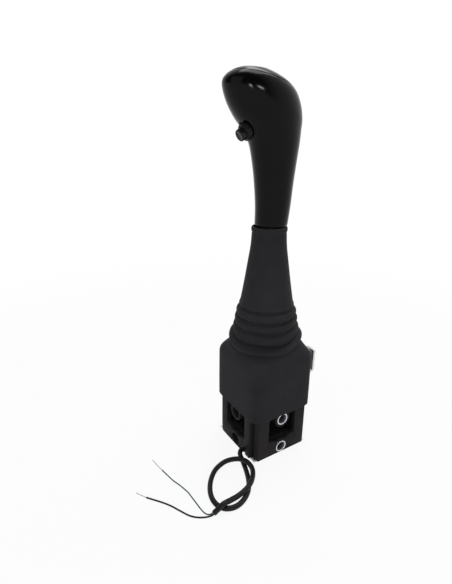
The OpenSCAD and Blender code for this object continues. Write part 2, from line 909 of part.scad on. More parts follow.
// knurled nut: a ring with flats that grips the barrel
module button_bezel() {
    teeth = 18;
    color([0.06, 0.06, 0.06])
        at_button()
            difference() {
                union() {
                    cylinder(r = bezel_r - 0.35, h = 4.6);
                    for (a = [0 : 360 / teeth : 359])
                        rotate([0, 0, a])
                            translate([bezel_r - 0.45, 0, 0.4])
                                cylinder(r = 0.45, h = 3.8);
                }
                translate([0, 0, -1])
                    cylinder(r = bezel_r - 1 + fit, h = 8);
            }
}

module button_switch() {
    color([0.25, 0.05, 0.05])
        at_button()
            translate([0, 0, -8 - gap])
                mirror([0, 0, 1]) {
                    translate([-3.2, -5, 0])
                        cube([6.4, 10, 6]);
                    for (s = [-1, 1])
                        translate([-0.4, s * 3 - 0.8, 5.9])
                            cube([0.8, 1.6, 3]);
                }
}

// end of a terminal of the switch, above or below the button's axis
terminal_y = 3;
terminal_end = 17.2;
function terminal(s) = [0,
    button_y - s * terminal_y * sin(button_tilt) + terminal_end * cos(button_tilt),
    button_z + s * terminal_y * cos(button_tilt) + terminal_end * sin(button_tilt)];

// insulated wires from the switch down through the lever tube
module switch_leads() {
    low_z = pivot_z + 10;
    color([0.1, 0.3, 0.12])
        for (s = [-1, 1])
            swept_tube(concat([[s * 1.2, s * 1.2 - 1.5, low_z],
                [s * 1.2, s * 1.2 - 1.5, (low_z + tube_top_z) / 2],
                [s * 1.2, s * 1.2 - 1.5, tube_top_z],
                [s * 1.2, s * 1.2 - 2, button_z - 12]],
                s < 0 ? [terminal(s) + [-1, 2.1, -6.8], terminal(s) + [-0.2, 0.8, -1.4]]
                      : [terminal(s) + [2.2, 6.35, -10.2], terminal(s) + [2.4, 3.35, -4.2],
                          terminal(s) + [0.9, 0.65, -0.2]]),
                wire_r, 8);
}

module button_plunger() {
    stem_z = -5 + button_travel + 0.5;
    color([0.04, 0.04, 0.04])
        at_button() {
            translate([0, 0, 2.5])
                cylinder(r = plunger_r, h = 6.3);
            translate([0, 0, 8.8])
                cylinder(r1 = plunger_r, r2 = plunger_r - 0.8, h = 0.8);
            translate([0, 0, stem_z])
                cylinder(r = 1.3, h = 2.5 - stem_z + eps);
        }
}

module button_spring() {
    turns = 4;
    steps = 12;
    coil_r = 3;
    wire = 0.3;
    low = -5 + wire + 0.1;
    high = 2.5 - wire - 0.1;
    color([0.75, 0.75, 0.77])
        at_button()
            swept_tube([for (i = [0 : turns * steps])
                [coil_r * cos(360 * i / steps), coil_r * sin(360 * i / steps),
                    low + (high - low) * i / (turns * steps)]], wire, 6);
}

// ---------- brake lever at the rear ----------

module brake_lever() {
    knuckle_r = 2.8;
    pin_y = half - wall_t / 2;
    leg_y = tab_y - brake_t;
    bend_r = 2.6;
    nose_w = brake_w - 2;
    color([0.78, 0.78, 0.76])
        translate([-brake_w / 2, 0, brake_z])
            difference() {
                rotate([90, 0, 90])
                    linear_extrude(brake_w) {
                        translate([pin_y, 0])
                            circle(knuckle_r);
                        translate([pin_y, -brake_t / 2])
                            square([tab_y - bend_r - pin_y, brake_t]);
                        // rounded bend up to the tab
                        intersection() {
                            translate([tab_y - bend_r, bend_r - brake_t / 2])
                                difference() {
                                    circle(bend_r);
                                    circle(bend_r - brake_t);
                                }
                            translate([tab_y - bend_r, -brake_t / 2])
                                square([bend_r, bend_r]);
                        }
                        translate([leg_y, bend_r - brake_t / 2])
                            square([brake_t, tab_top_z - brake_z - bend_r + brake_t / 2]);
                        // nose that presses the bail's arm
                        translate([pin_y - 2.4, -4.2])
                            square([2.6, 4.2]);
                    }
                translate([-1, pin_y, 0])
                    rod_x(1.5 + run, 0, brake_w + 2);
                // rounded top corners of the tab
                for (s = [0, 1])
                    translate([s * brake_w, 0, tab_top_z - brake_z])
                        mirror([s, 0, 0])
                            difference() {
                                translate([-1, leg_y - 1, -2])
                                    cube([3, brake_t + 2, 3]);
                                translate([2, leg_y - 2, -2])
                                    rotate([-90, 0, 0])
                                        cylinder(r = 2, h = brake_t + 4);
                            }
            }
}

// ---------- lead ----------
lead_x = exit_x;
lead_y = -10;
elbow_r = 8;

module lead_grommet() {
    color([0.1, 0.1, 0.1])
        difference() {
            translate([exit_x, -half, exit_z])
                rotate([-90, 0, 0])
                    cylinder(r = lead_r + 1, h = wall_t + 0.4);
            translate([exit_x, -half - 1, exit_z])
                rotate([-90, 0, 0])
                    cylinder(r = lead_r + fit, h = wall_t + 2);
        }
}

// the lead inside the housing: in from the wall, round an elbow and up through the cable plate
module inner_lead() {
    top_z = plate_top_z + 3;
    color([0.08, 0.08, 0.08]) {
        translate([lead_x, 0, exit_z])
            rod_y(lead_r, -half + 0.1, lead_y - elbow_r);
        translate([lead_x, lead_y - elbow_r, exit_z + elbow_r])
            rotate([0, 90, 0])
                rotate_extrude(angle = 90)
                    translate([elbow_r, 0])
                        circle(lead_r);
        translate([lead_x, lead_y, exit_z + elbow_r])
            cylinder(r = lead_r, h = top_z - exit_z - elbow_r);
    }
}

module lead_connector() {
    block = [9, 8, 11];
    color([0.82, 0.8, 0.72])
        translate([lead_x - block[0] / 2, lead_y - block[1] / 2, plate_top_z])
            difference() {
                cube(block);
                translate([block[0] / 2, block[1] / 2, -1])
                    cylinder(r = lead_r + fit, h = 4.2);
                for (s = [-1, 1])
                    translate([block[0] / 2 + s * 2 - 0.9, block[1] / 2 - 0.9, block[2] - 5])
                        cube([1.8, 1.8, 6]);
            }
}

// places a route that is measured from the lead's exit in the front face
function from_exit(path) = [for (p = path) [exit_x + p[0], p[1] - half, p[2]]];

// route of the free lead, from the grommet round its loop to the cut end
lead_route = from_exit([[0, -0.5, 3.8], [0.2, -2.4, 3.3], [2.6, -5, 2.6], [7.3, -6.5, 2.2],
    [13.5, -8.5, 2.2], [20.7, -10.8, 2.2], [27.7, -13.6, 2.2], [32.9, -16.2, 2.2], [37.6, -19.5, 2.2],
    [41.7, -23.5, 2.2], [45.3, -29, 2.2], [47.4, -34.8, 2.2], [47.6, -40.1, 2.2], [46, -44.8, 2.2],
    [43, -48.2, 2.2], [38.6, -50.2, 2.2], [33.3, -50.6, 2.2], [27.9, -49.5, 2.2], [22.5, -47.2, 2.2],
    [17.1, -43.7, 2.2], [12.1, -39.3, 2.2], [7.8, -33.8, 2.4], [5.5, -27.6, 3], [5.2, -21.7, 4],
    [7.4, -16.2, 5.3], [11.3, -11.6, 6.6], [16, -8.7, 7.1], [21.7, -7.6, 7], [27.6, -8.8, 6.7],
    [33.1, -12.4, 6.9], [37.8, -17.3, 7.1], [40.8, -22.6, 7], [42.1, -28.2, 6], [42.7, -34.2, 5.2],
    [43.6, -41.2, 6], [44.4, -47.7, 6.9], [44.5, -52.3, 4.6], [44.2, -56, 2.3]]);
lead_end = lead_route[len(lead_route) - 1];

module lead_cable() {
    color([0.09, 0.09, 0.09])
        swept_tube(lead_route, lead_r, 10);
}

// insulated wires from the cut end, each with a bared and tinned tip
green_route = from_exit([[43.4, -56.2, 2.4], [43, -59, 1.6], [40, -61, 0.8], [35, -62, 0.6],
    [27.5, -62.5, 0.6], [20, -63, 0.6], [14.5, -63.5, 0.6], [5, -66, 0.6], [-2, -68.5, 0.6],
    [-8.5, -70, 0.6], [-18, -72, 0.6], [-25, -73.3, 0.6], [-33, -74.5, 0.6]]);
black_route = from_exit([[44.9, -56.2, 2.2], [44.2, -59, 1.2], [42.5, -63, 0.7], [39.5, -68, 0.7],
    [35, -72.3, 0.7], [27.5, -76.5, 0.7], [20, -80.5, 0.7], [13.5, -85, 0.7], [8, -89.5, 0.7],
    [2.5, -94, 0.7], [-6, -99.5, 0.7]]);

module wire_green() {
    color([0.1, 0.45, 0.2])
        swept_tube(green_route, thin_wire_r, 8);
}

module wire_black() {
    color([0.05, 0.05, 0.05])
        swept_tube(black_route, wire_r, 8);
}

housing();
cable_plate();
plate_screws();
threaded_inserts();
ring_bushes();
bail_bushes();
boot();
brake_pin();
lead_grommet();
inner_lead();
lead_connector();
lead_cable();
wire_green();
wire_black();
gimbal_ring();
ring_trunnions();
ring_fork_pin();
ring_fork();
bail();
bail_trunnions();
bail_fork_pin();
bail_fork();
lever_hub();
hub_pin();
lever_tail();
lever_tube();
tube_jam_nut();
grip_shell();
grip_cap();
cap_pins();
grip_set_screw();
button_barrel();
button_bezel();
button_switch();
switch_leads();
button_plunger();
button_spring();
brake_lever();
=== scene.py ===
"""Cable-control joystick: finished surfaces, lead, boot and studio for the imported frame."""

import json
import logging
import math
from dataclasses import dataclass, field
from enum import Enum
from typing import Sequence

import bmesh
import bpy
from mathutils import Matrix, Vector

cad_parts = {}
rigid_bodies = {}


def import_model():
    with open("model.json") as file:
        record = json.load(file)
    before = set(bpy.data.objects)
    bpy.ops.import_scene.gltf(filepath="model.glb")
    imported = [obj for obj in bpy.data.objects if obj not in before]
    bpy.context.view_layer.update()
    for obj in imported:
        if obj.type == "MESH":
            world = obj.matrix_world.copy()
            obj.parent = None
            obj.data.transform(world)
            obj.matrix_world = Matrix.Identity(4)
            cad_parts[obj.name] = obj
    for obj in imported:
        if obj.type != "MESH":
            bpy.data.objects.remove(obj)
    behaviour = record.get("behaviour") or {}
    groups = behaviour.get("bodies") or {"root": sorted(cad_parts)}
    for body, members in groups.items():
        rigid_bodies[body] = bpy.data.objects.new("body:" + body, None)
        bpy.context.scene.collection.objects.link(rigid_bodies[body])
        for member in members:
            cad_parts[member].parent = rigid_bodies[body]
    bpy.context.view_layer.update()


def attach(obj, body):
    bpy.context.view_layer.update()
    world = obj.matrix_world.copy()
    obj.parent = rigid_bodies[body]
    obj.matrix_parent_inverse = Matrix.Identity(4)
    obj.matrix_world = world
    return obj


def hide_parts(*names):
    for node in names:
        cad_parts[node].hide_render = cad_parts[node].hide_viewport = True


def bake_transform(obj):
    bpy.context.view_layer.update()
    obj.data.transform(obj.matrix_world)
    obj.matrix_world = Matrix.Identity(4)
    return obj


LOG = logging.getLogger("joystick")
# One millimetre in the scene's metres. Sizes of the object are given in millimetres, those of the studio in metres.
MM = 0.001
WHITE = (1.0, 1.0, 1.0, 1.0)
DUST_COLOUR = (0.3, 0.29, 0.27)
MERGE_DISTANCE = 2e-6
FLAT_DEG = 0.8
EDGE_DEG = 40.0
Point = tuple[float, float, float]
Row = tuple[float, ...]
Outline = list[tuple[float, float]]
Socket = bpy.types.NodeSocket


class Body(Enum):
    """The moving bodies of the joystick."""

    HOUSING = "housing"
    GIMBAL = "gimbal"
    LEVER = "lever"
    BUTTON = "button"
    BRAKE = "brake"


# ---------------------------------------------------------------- curves and meshes


def catmull(a: float, b: float, c: float, d: float, t: float) -> float:
    """Cubic through b and c at t from 0 to 1, with a and d as neighbours."""
    return 0.5 * (2 * b + (c - a) * t + (2 * a - 5 * b + 4 * c - d) * t * t
                  + (3 * b - a - 3 * c + d) * t * t * t)


def smooth_rows(rows: Sequence[Row], steps: int) -> list[Row]:
    """Rows of numbers with steps - 1 smooth rows put between each two.

    Args:
        rows: rows of equal length.
        steps: intervals that each original interval is divided into.

    Returns:
        The finer list, which still passes through every original row.
    """
    fine: list[Row] = []
    last = len(rows) - 1
    for i in range(last):
        a, b, c, d = rows[max(i - 1, 0)], rows[i], rows[i + 1], rows[min(i + 2, last)]
        for k in range(steps):
            fine.append(tuple(catmull(*q, k / steps) for q in zip(a, b, c, d)))
    fine.append(tuple(rows[last]))
    return fine


def in_metres(rows: Sequence[Point], steps: int) -> list[Vector]:
    """A route in millimetres as smooth points in metres."""
    return [Vector(r) * MM for r in smooth_rows(rows, steps)]


def placed(name: str, data: bpy.types.ID) -> bpy.types.Object:
    """A new object at the origin, in the scene."""
    thing = bpy.data.objects.new(name, data)
    bpy.context.scene.collection.objects.link(thing)
    return thing


def mesh_of(bm: bmesh.types.BMesh, name: str) -> bpy.types.Mesh:
    """A new mesh from an edit mesh, which is freed."""
    mesh = bpy.data.meshes.new(name)
    bm.to_mesh(mesh)
    bm.free()
    return mesh


def mesh_object(name: str, mesh: bpy.types.Mesh, smooth_deg: float = 35.0) -> bpy.types.Object:
    """Link a mesh as an object at the origin, smooth except at edges sharper than smooth_deg."""
    mesh.polygons.foreach_set("use_smooth", [True] * len(mesh.polygons))
    mesh.set_sharp_from_angle(angle=math.radians(smooth_deg))
    mesh.name = name
    return placed(name, mesh)


def loft(name: str, rings: list[list[Point]], wrap: bool = False) -> bpy.types.Mesh:
    """Closed mesh through rings of equal length, given in millimetres.

    Args:
        name: name of the mesh.
        rings: the rings, in order.
        wrap: join the last ring to the first, as on a hollow shell, and leave out the two end faces.

    Returns:
        A mesh in metres with its faces turned outwards.
    """
    bm = bmesh.new()
    rows = [[bm.verts.new(Vector(p) * MM) for p in ring] for ring in rings]
    count = len(rings[0])
    for low, high in list(zip(rows, rows[1:])) + ([(rows[-1], rows[0])] if wrap else []):
        for k in range(count):
            n = (k + 1) % count
            bm.faces.new((low[k], low[n], high[n], high[k]))
    if not wrap:
        bm.faces.new(reversed(rows[0]))
        bm.faces.new(rows[-1])
    bmesh.ops.recalc_face_normals(bm, faces=bm.faces)
    return mesh_of(bm, name)


def lathe(name: str, profile: Outline, segments: int = 96, wrap: bool = True) -> bpy.types.Mesh:
    """Solid of revolution round Z from (radius, height) rows in millimetres.

    Args:
        name: name of the mesh.
        profile: a closed outline, or one that starts and ends on the axis.
        segments: faces round the axis.
        wrap: the outline is a closed one.

    Returns:
        The mesh, in metres.
    """
    turns = [2 * math.pi * k / segments for k in range(segments)]
    return loft(name, [[(r * math.cos(a), r * math.sin(a), z) for a in turns] for r, z in profile], wrap)


def plug(name: str, radius: float, low: float, high: float, segments: int) -> bpy.types.Mesh:
    """A plain cylinder along Z, in millimetres."""
    return lathe(name, [(0.01, low), (radius, low), (radius, high), (0.01, high)], segments, wrap=False)


def interpolated(table: tuple[tuple[float, float], ...], at: float) -> float:
    """A value read from a table of (place, value) rows, straight between them and zero outside."""
    for (a, first), (b, second) in zip(table, table[1:]):
        if a <= at <= b:
            return first + (second - first) * (at - a) / (b - a)
    return 0.0


def rounded_outline(points: Outline, radius: float, steps: int) -> Outline:
    """A closed outline with each corner rounded.

    Args:
        points: corners of the outline.
        radius: radius aimed at, which a short side makes smaller.
        steps: segments on each rounded corner.

    Returns:
        The outline's points in the same order.
    """
    result: Outline = []
    count = len(points)
    for i, corner in enumerate(points):
        here = Vector(corner)
        before = Vector(points[i - 1]) - here
        after = Vector(points[(i + 1) % count]) - here
        reach = min(radius, before.length * 0.45, after.length * 0.45)
        start, end = here + before.normalized() * reach, here + after.normalized() * reach
        for k in range(steps + 1):
            t = k / steps
            point = start * (1 - t) ** 2 + here * 2 * t * (1 - t) + end * t * t
            result.append((point.x, point.y))
    return result

def applied(piece: bpy.types.Object, smooth_deg: float = 35.0) -> bpy.types.Object:
    """The piece with its modifiers applied, as a new plain object of the same name."""
    graph = bpy.context.evaluated_depsgraph_get()
    graph.update()
    mesh = bpy.data.meshes.new_from_object(piece.evaluated_get(graph))
    name = piece.name
    old = piece.data
    bpy.data.objects.remove(piece)
    if isinstance(old, bpy.types.Mesh) and old.users == 0:
        bpy.data.meshes.remove(old)
    return mesh_object(name, mesh, smooth_deg)

def combined(piece: bpy.types.Object, other: bpy.types.Mesh, operation: str, smooth_deg: float) -> bpy.types.Object:
    """The piece with a closed mesh taken from it or added to it.

    Args:
        piece: the piece, which is used up.
        other: the closed mesh.
        operation: DIFFERENCE or UNION.
        smooth_deg: edges sharper than this stay sharp.

    Returns:
        The new piece, with no modifier.
    """
    tool = placed("tool", other)
    modifier = piece.modifiers.new("combine", "BOOLEAN")
    modifier.operation, modifier.solver, modifier.object = operation, "EXACT", tool
    piece = applied(piece, smooth_deg)
    bpy.data.objects.remove(tool)
    return piece


def merged_copy(node: str, name: str, bevel: float) -> bpy.types.Object:
    """Copy of a CAD node with its loose triangles merged and its sharp edges broken.

    Args:
        node: name of the CAD node.
        name: name of the new piece.
        bevel: width of the broken edges in metres.

    Returns:
        The new piece, at the origin.
    """
    mesh = bpy.data.objects[node].data.copy()
    mesh.materials.clear()
    bm = bmesh.new()
    bm.from_mesh(mesh)
    bmesh.ops.remove_doubles(bm, verts=bm.verts, dist=MERGE_DISTANCE)
    bmesh.ops.dissolve_limit(bm, angle_limit=math.radians(FLAT_DEG), verts=bm.verts, edges=bm.edges)
    bm.to_mesh(mesh)
    bm.free()
    piece = mesh_object(name, mesh)
    modifier = piece.modifiers.new("broken edges", "BEVEL")
    modifier.width, modifier.segments = bevel, 2
    modifier.limit_method, modifier.angle_limit = "ANGLE", math.radians(EDGE_DEG)
    modifier.use_clamp_overlap = True
    return applied(piece)


# ---------------------------------------------------------------- node trees


class Wiring:
    """Adds nodes and links to one node tree."""

    def __init__(self, tree: bpy.types.NodeTree) -> None:
        """Work in the given tree."""
        self.tree = tree

    def feed(self, value: object, socket: Socket) -> None:
        """Link an output socket to an input socket, or write a plain value on it."""
        if isinstance(value, Socket):
            self.tree.links.new(value, socket)
        else:
            socket.default_value = value

    def feed_all(self, node: bpy.types.Node, inputs: dict[str | int, object]) -> None:
        """Feed several inputs of a node."""
        for key, value in inputs.items():
            self.feed(value, node.inputs[key])

    def node(self, kind: str, inputs: dict[str | int, object] | None = None, **settings: object) -> bpy.types.Node:
        """Add a node, set its properties and feed its inputs."""
        made = self.tree.nodes.new(kind)
        for key, value in settings.items():
            setattr(made, key, value)
        self.feed_all(made, inputs or {})
        return made

    def maths(self, operation: str, *values: object) -> Socket:
        """A Math node's output; the values are sockets or numbers."""
        return self.node("ShaderNodeMath", dict(enumerate(values)), operation=operation).outputs[0]

    def mix_colour(self, factor: Socket, a: object, b: object) -> Socket:
        """A colour between a and b, which are sockets or red, green and blue."""
        made = self.node("ShaderNodeMix", {"Factor": factor}, data_type="RGBA")
        for slot, value in (("A", a), ("B", b)):
            socket = next(s for s in made.inputs if s.name == slot and s.type == "RGBA")
            self.feed((*value, 1.0) if isinstance(value, tuple) else value, socket)
        return next(s for s in made.outputs if s.type == "RGBA")

    def mix_shader(self, factor: Socket, a: Socket, b: Socket) -> Socket:
        """A shader between a and b."""
        return self.node("ShaderNodeMixShader", {0: factor, 1: a, 2: b}).outputs[0]

    def seen(self, *kinds: str) -> Socket:
        """One for a ray of any of the given kinds of the Light Path node, otherwise zero."""
        path = self.node("ShaderNodeLightPath")
        found = path.outputs[kinds[0]]
        for kind in kinds[1:]:
            found = self.maths("MAXIMUM", found, path.outputs[kind])
        return found


class GroupMaker(Wiring):
    """Builds a shader or geometry node group with named sockets."""

    def __init__(self, name: str, kind: str, inputs: dict[str, object], outputs: dict[str, str]) -> None:
        """Start a group.

        Args:
            name: name of the group.
            kind: type of the tree.
            inputs: each input's default value, or the type of one without a default.
            outputs: each output's type.
        """
        super().__init__(bpy.data.node_groups.new(name, kind))
        source = self.tree.nodes.new("NodeGroupInput")
        self.sink = self.tree.nodes.new("NodeGroupOutput")
        self.ids = {key: self.socket(key, value, "INPUT") for key, value in inputs.items()}
        for key, value in outputs.items():
            self.socket(key, value, "OUTPUT")
        self.given = source.outputs

    def socket(self, name: str, value: object, side: str) -> str:
        """Add a socket and return its identifier."""
        kind = value if isinstance(value, str) else {int: "Int", float: "Float"}[type(value)]
        item = self.tree.interface.new_socket(name=name, in_out=side, socket_type="NodeSocket" + kind)
        if not isinstance(value, str):
            item.default_value = value
        return item.identifier

    def results(self, outputs: dict[str, object]) -> bpy.types.NodeTree:
        """Feed the group's outputs and return its tree."""
        self.feed_all(self.sink, outputs)
        return self.tree

    def noise(self, **inputs: object) -> Socket:
        """A noise texture's value."""
        return self.node("ShaderNodeTexNoise", inputs).outputs["Fac"]

    def circle(self, radius: Socket, resolution: object) -> Socket:
        """A round profile curve."""
        return self.node("GeometryNodeCurvePrimitiveCircle", {
            "Radius": radius, "Resolution": resolution}).outputs["Curve"]

    def sweep(self, path: Socket, profile: Socket) -> Socket:
        """A profile swept along a path, closed at both ends."""
        return self.node("GeometryNodeCurveToMesh", {
            "Curve": path, "Profile Curve": profile, "Fill Caps": True}).outputs["Mesh"]

    def instances(self, points: Socket, instance: Socket) -> Socket:
        """An instance on each point."""
        return self.node("GeometryNodeInstanceOnPoints", {
            "Points": points, "Instance": instance}).outputs["Instances"]

    def real(self, geometry: Socket) -> Socket:
        """Geometry with its instances made real."""
        return self.node("GeometryNodeRealizeInstances", {"Geometry": geometry}).outputs["Geometry"]

    def joined(self, *parts: Socket) -> Socket:
        """Several geometries as one."""
        join = self.node("GeometryNodeJoinGeometry")
        for part in parts:
            self.feed(part, join.inputs[0])
        return join.outputs[0]

    def painted(self, shape: Socket) -> "GroupMaker":
        """Make a shape real, give it the material and make it the tree's result."""
        self.results({"Geometry": self.node("GeometryNodeSetMaterial", {
            "Geometry": self.real(shape), "Material": self.given["Material"]}).outputs["Geometry"]})
        return self


# ---------------------------------------------------------------- shader groups and finishes


def grain_group() -> bpy.types.NodeTree:
    """Moulded or cast relief: a fine pebble over a slower waviness, with a slow blotch mask."""
    g = GroupMaker("surface_grain", "ShaderNodeTree", {
        "Vector": "Vector", "Pebbles per metre": 2500.0, "Waves per metre": 60.0}, {
        "Height": "Float", "Blotch": "Float"})
    pebble, wave = (g.noise(Detail=detail, Vector=g.given["Vector"], Scale=g.given[scale])
                    for scale, detail in (("Pebbles per metre", 3.0), ("Waves per metre", 2.0)))
    return g.results({"Height": g.maths("ADD", pebble, g.maths("MULTIPLY", wave, 0.8)), "Blotch": wave})


def scuff_group() -> bpy.types.NodeTree:
    """Short faint scuffs in two directions, as a mask."""
    g = GroupMaker("handling_scuffs", "ShaderNodeTree", {
        "Vector": "Vector", "Scuffs per metre": 900.0, "Threshold": 0.66}, {"Mask": "Float"})
    masks = []
    for turn, stretch in ((0.4, 0.06), (2.1, 0.09)):
        place = g.node("ShaderNodeMapping", {
            "Rotation": (turn, turn * 0.7, turn * 1.3), "Scale": (1.0, stretch, 1.0), "Vector": g.given["Vector"]})
        streak = g.noise(Detail=4.0, Vector=place.outputs["Vector"], Scale=g.given["Scuffs per metre"])
        over = g.maths("SUBTRACT", streak, g.given["Threshold"])
        masks.append(g.maths("MINIMUM", g.maths("MAXIMUM", g.maths("MULTIPLY", over, 12.0), 0.0), 1.0))
    return g.results({"Mask": g.maths("MAXIMUM", *masks)})


def dust_group() -> bpy.types.NodeTree:
    """Dust that settles where a surface looks up, as a mask."""
    g = GroupMaker("settled_dust", "ShaderNodeTree", {"Vector": "Vector", "Amount": 0.1}, {"Mask": "Float"})
    normal = g.node("ShaderNodeNewGeometry").outputs["Normal"]
    up = g.maths("MAXIMUM", g.node("ShaderNodeSeparateXYZ", {0: normal}).outputs["Z"], 0.0)
    specks = g.noise(Scale=700.0, Detail=5.0, Vector=g.given["Vector"])
    return g.results({"Mask": g.maths("MULTIPLY", g.maths("MULTIPLY", up, specks), g.given["Amount"])})


@dataclass(frozen=True)
class Finish:
    """One surface finish, from which a material is made."""

    name: str
    slot: str
    colour: Point
    roughness: float
    metallic: float = 0.0
    pebbles: float = 2500.0
    waves: float = 60.0
    bump_mm: float = 0.02
    mottle: float = 0.15
    scuff: float = 0.1
    dust: float = 0.1
    specular: float = 0.5
    stretch: Point = (1.0, 1.0, 1.0)

    def shade(self, factor: float) -> Point:
        """The finish's colour, lighter or darker."""
        return tuple(c * factor for c in self.colour)


@dataclass
class Palette:
    """All the finishes of the joystick, with the groups that they share."""

    made: dict[str, bpy.types.Material] = field(default_factory=dict)
    grain: bpy.types.NodeTree | None = None
    scuffs: bpy.types.NodeTree | None = None
    dust: bpy.types.NodeTree | None = None

    def prepare(self) -> None:
        """Build the shared shader groups."""
        self.grain, self.scuffs, self.dust = grain_group(), scuff_group(), dust_group()

    def material(self, finish: Finish) -> bpy.types.Material:
        """The material of a finish, built once.

        Args:
            finish: the surface finish.

        Returns:
            A node material whose Principled shader stands in the material itself.
        """
        if finish.name in self.made:
            return self.made[finish.name]
        material = bpy.data.materials.new(finish.name)
        material.use_nodes = True
        w = Wiring(material.node_tree)
        vector = w.node("ShaderNodeTexCoord").outputs["Object"]
        stretched = w.node("ShaderNodeMapping", {"Scale": finish.stretch, "Vector": vector}).outputs["Vector"]
        grain = w.node("ShaderNodeGroup", {
            "Vector": stretched, "Pebbles per metre": finish.pebbles, "Waves per metre": finish.waves},
            node_tree=self.grain)
        blotch = grain.outputs["Blotch"]
        scuffs = w.node("ShaderNodeGroup", {"Vector": vector}, node_tree=self.scuffs).outputs["Mask"]
        dust = w.node("ShaderNodeGroup", {
            "Vector": vector, "Amount": finish.dust}, node_tree=self.dust).outputs["Mask"]
        rubbed = tuple(min(1.0, c * 1.6 + 0.01) for c in finish.colour)
        colour = w.mix_colour(blotch, finish.shade(1 - finish.mottle), finish.shade(1 + finish.mottle))
        colour = w.mix_colour(w.maths("MULTIPLY", scuffs, finish.scuff), colour, rubbed)
        spread = w.node("ShaderNodeMapRange", {
            "Value": blotch, "From Min": 0.3, "From Max": 0.7, "To Min": finish.roughness * 0.88,
            "To Max": finish.roughness * 1.12}).outputs["Result"]
        bump = w.node("ShaderNodeBump", {
            "Strength": 1.0, "Distance": finish.bump_mm * MM, "Height": grain.outputs["Height"]})
        w.feed_all(material.node_tree.nodes["Principled BSDF"], {
            "Metallic": finish.metallic, "Specular IOR Level": finish.specular,
            "Base Color": w.mix_colour(dust, colour, DUST_COLOUR),
            "Roughness": w.maths("ADD", spread, w.maths("MULTIPLY", scuffs, finish.scuff * 0.6)),
            "Normal": bump.outputs["Normal"]})
        self.made[finish.name] = material
        return material


HOUSING = Finish("housing_cast", "housing_black", (0.0155, 0.0138, 0.014), 0.55, pebbles=1800.0, waves=45.0,
                 bump_mm=0.05, mottle=0.3, scuff=0.3, dust=0.06, specular=0.06)
INSERT = Finish("insert_bright", "bright", (0.62, 0.62, 0.64), 0.26, metallic=1.0, bump_mm=0.006, mottle=0.06,
                scuff=0.3, dust=0.02)
# Dark bluish steel for the linings and threads inside the bright inserts: painted shade in the bores.
THREAD_PAINTED_SHADE = Finish("thread_steel", "steel", (0.045, 0.055, 0.07), 0.42, metallic=0.6, bump_mm=0.006, mottle=0.1,
                dust=0.02)
STEEL = Finish("machined_steel", "steel", (0.5, 0.5, 0.52), 0.36, metallic=1.0, pebbles=1500.0,
               stretch=(1.0, 1.0, 0.08), bump_mm=0.01, mottle=0.1, scuff=0.4, dust=0.03)
ZINC = Finish("zinc_plate", "zinc", (0.66, 0.66, 0.64), 0.33, metallic=1.0, pebbles=1200.0, stretch=(1.0, 1.0, 0.1),
              bump_mm=0.012, mottle=0.14, scuff=0.4, dust=0.03)
BLACKED = Finish("blackened_steel", "steel", (0.012, 0.012, 0.013), 0.45, pebbles=1500.0, bump_mm=0.01, mottle=0.2,
                 scuff=0.2, dust=0.03, specular=0.3)
BRONZE = Finish("sintered_bronze", "bronze", (0.45, 0.3, 0.14), 0.45, metallic=1.0, pebbles=3500.0, bump_mm=0.02,
                mottle=0.2)
BOOT = Finish("boot_rubber", "boot_rubber", (0.0205, 0.0192, 0.0225), 0.62, pebbles=2200.0, waves=38.0,
              bump_mm=0.04, mottle=0.42, scuff=0.4, dust=0.06, specular=0.055)
GRIP = Finish("grip_plastic", "grip_black", (0.0012, 0.0012, 0.0016), 0.14, pebbles=5200.0, waves=30.0,
              bump_mm=0.002, mottle=0.15, scuff=0.08, dust=0.01, specular=0.12)
CAP = Finish("cap_plastic", "cap_black", (0.003, 0.003, 0.0034), 0.2, pebbles=5200.0, waves=34.0, bump_mm=0.003,
             mottle=0.15, scuff=0.1, dust=0.01, specular=0.12)
BUTTON = Finish("button_plastic", "button_black", (0.005, 0.005, 0.0055), 0.26, pebbles=6000.0, waves=60.0,
                bump_mm=0.004, mottle=0.1, scuff=0.15, dust=0.01, specular=0.2)
NUT = Finish("nut_plastic", "button_black", (0.005, 0.005, 0.0055), 0.36, pebbles=5000.0, waves=60.0, bump_mm=0.006,
             mottle=0.12, specular=0.2)
SHEATH = Finish("lead_sheath", "lead_black", (0.006, 0.006, 0.0065), 0.42, pebbles=3200.0, waves=70.0,
                bump_mm=0.012, mottle=0.2, scuff=0.12, dust=0.02, specular=0.2)
GREEN = Finish("wire_green", "wire_green", (0.008, 0.075, 0.03), 0.4, pebbles=4000.0, waves=120.0, bump_mm=0.006,
               mottle=0.12, dust=0.01, specular=0.3)
BLACK = Finish("wire_black", "wire_black", (0.008, 0.008, 0.008), 0.42, pebbles=4000.0, waves=120.0, bump_mm=0.006,
               mottle=0.12, dust=0.01, specular=0.2)
TIN = Finish("tinned_copper", "bright", (0.68, 0.68, 0.68), 0.3, metallic=1.0, pebbles=4000.0, waves=300.0,
             bump_mm=0.01, mottle=0.12, dust=0.0)
NYLON = Finish("connector_nylon", "connector", (0.012, 0.012, 0.0125), 0.5, pebbles=3000.0, waves=90.0,
               bump_mm=0.01, mottle=0.06)
SWITCH = Finish("switch_body", "switch_red", (0.22, 0.03, 0.02), 0.4, pebbles=3000.0, waves=90.0, bump_mm=0.008,
                mottle=0.1)


def dress(piece: bpy.types.Object, palette: Palette, finish: Finish) -> bpy.types.Object:
    """Give a piece its finish."""
    piece.data.materials.clear()
    piece.data.materials.append(palette.material(finish))
    LOG.info("%s: %d faces, %s", piece.name, len(piece.data.polygons), finish.name)
    return piece


def dress_node(node: str, palette: Palette, finish: Finish) -> None:
    """Give a carried-over CAD node a better material."""
    target = bpy.data.objects[node]
    material = palette.material(finish)
    if not target.material_slots:
        target.data.materials.append(material)
    for slot in target.material_slots:
        slot.material = material

# ---------------------------------------------------------------- geometry node trees


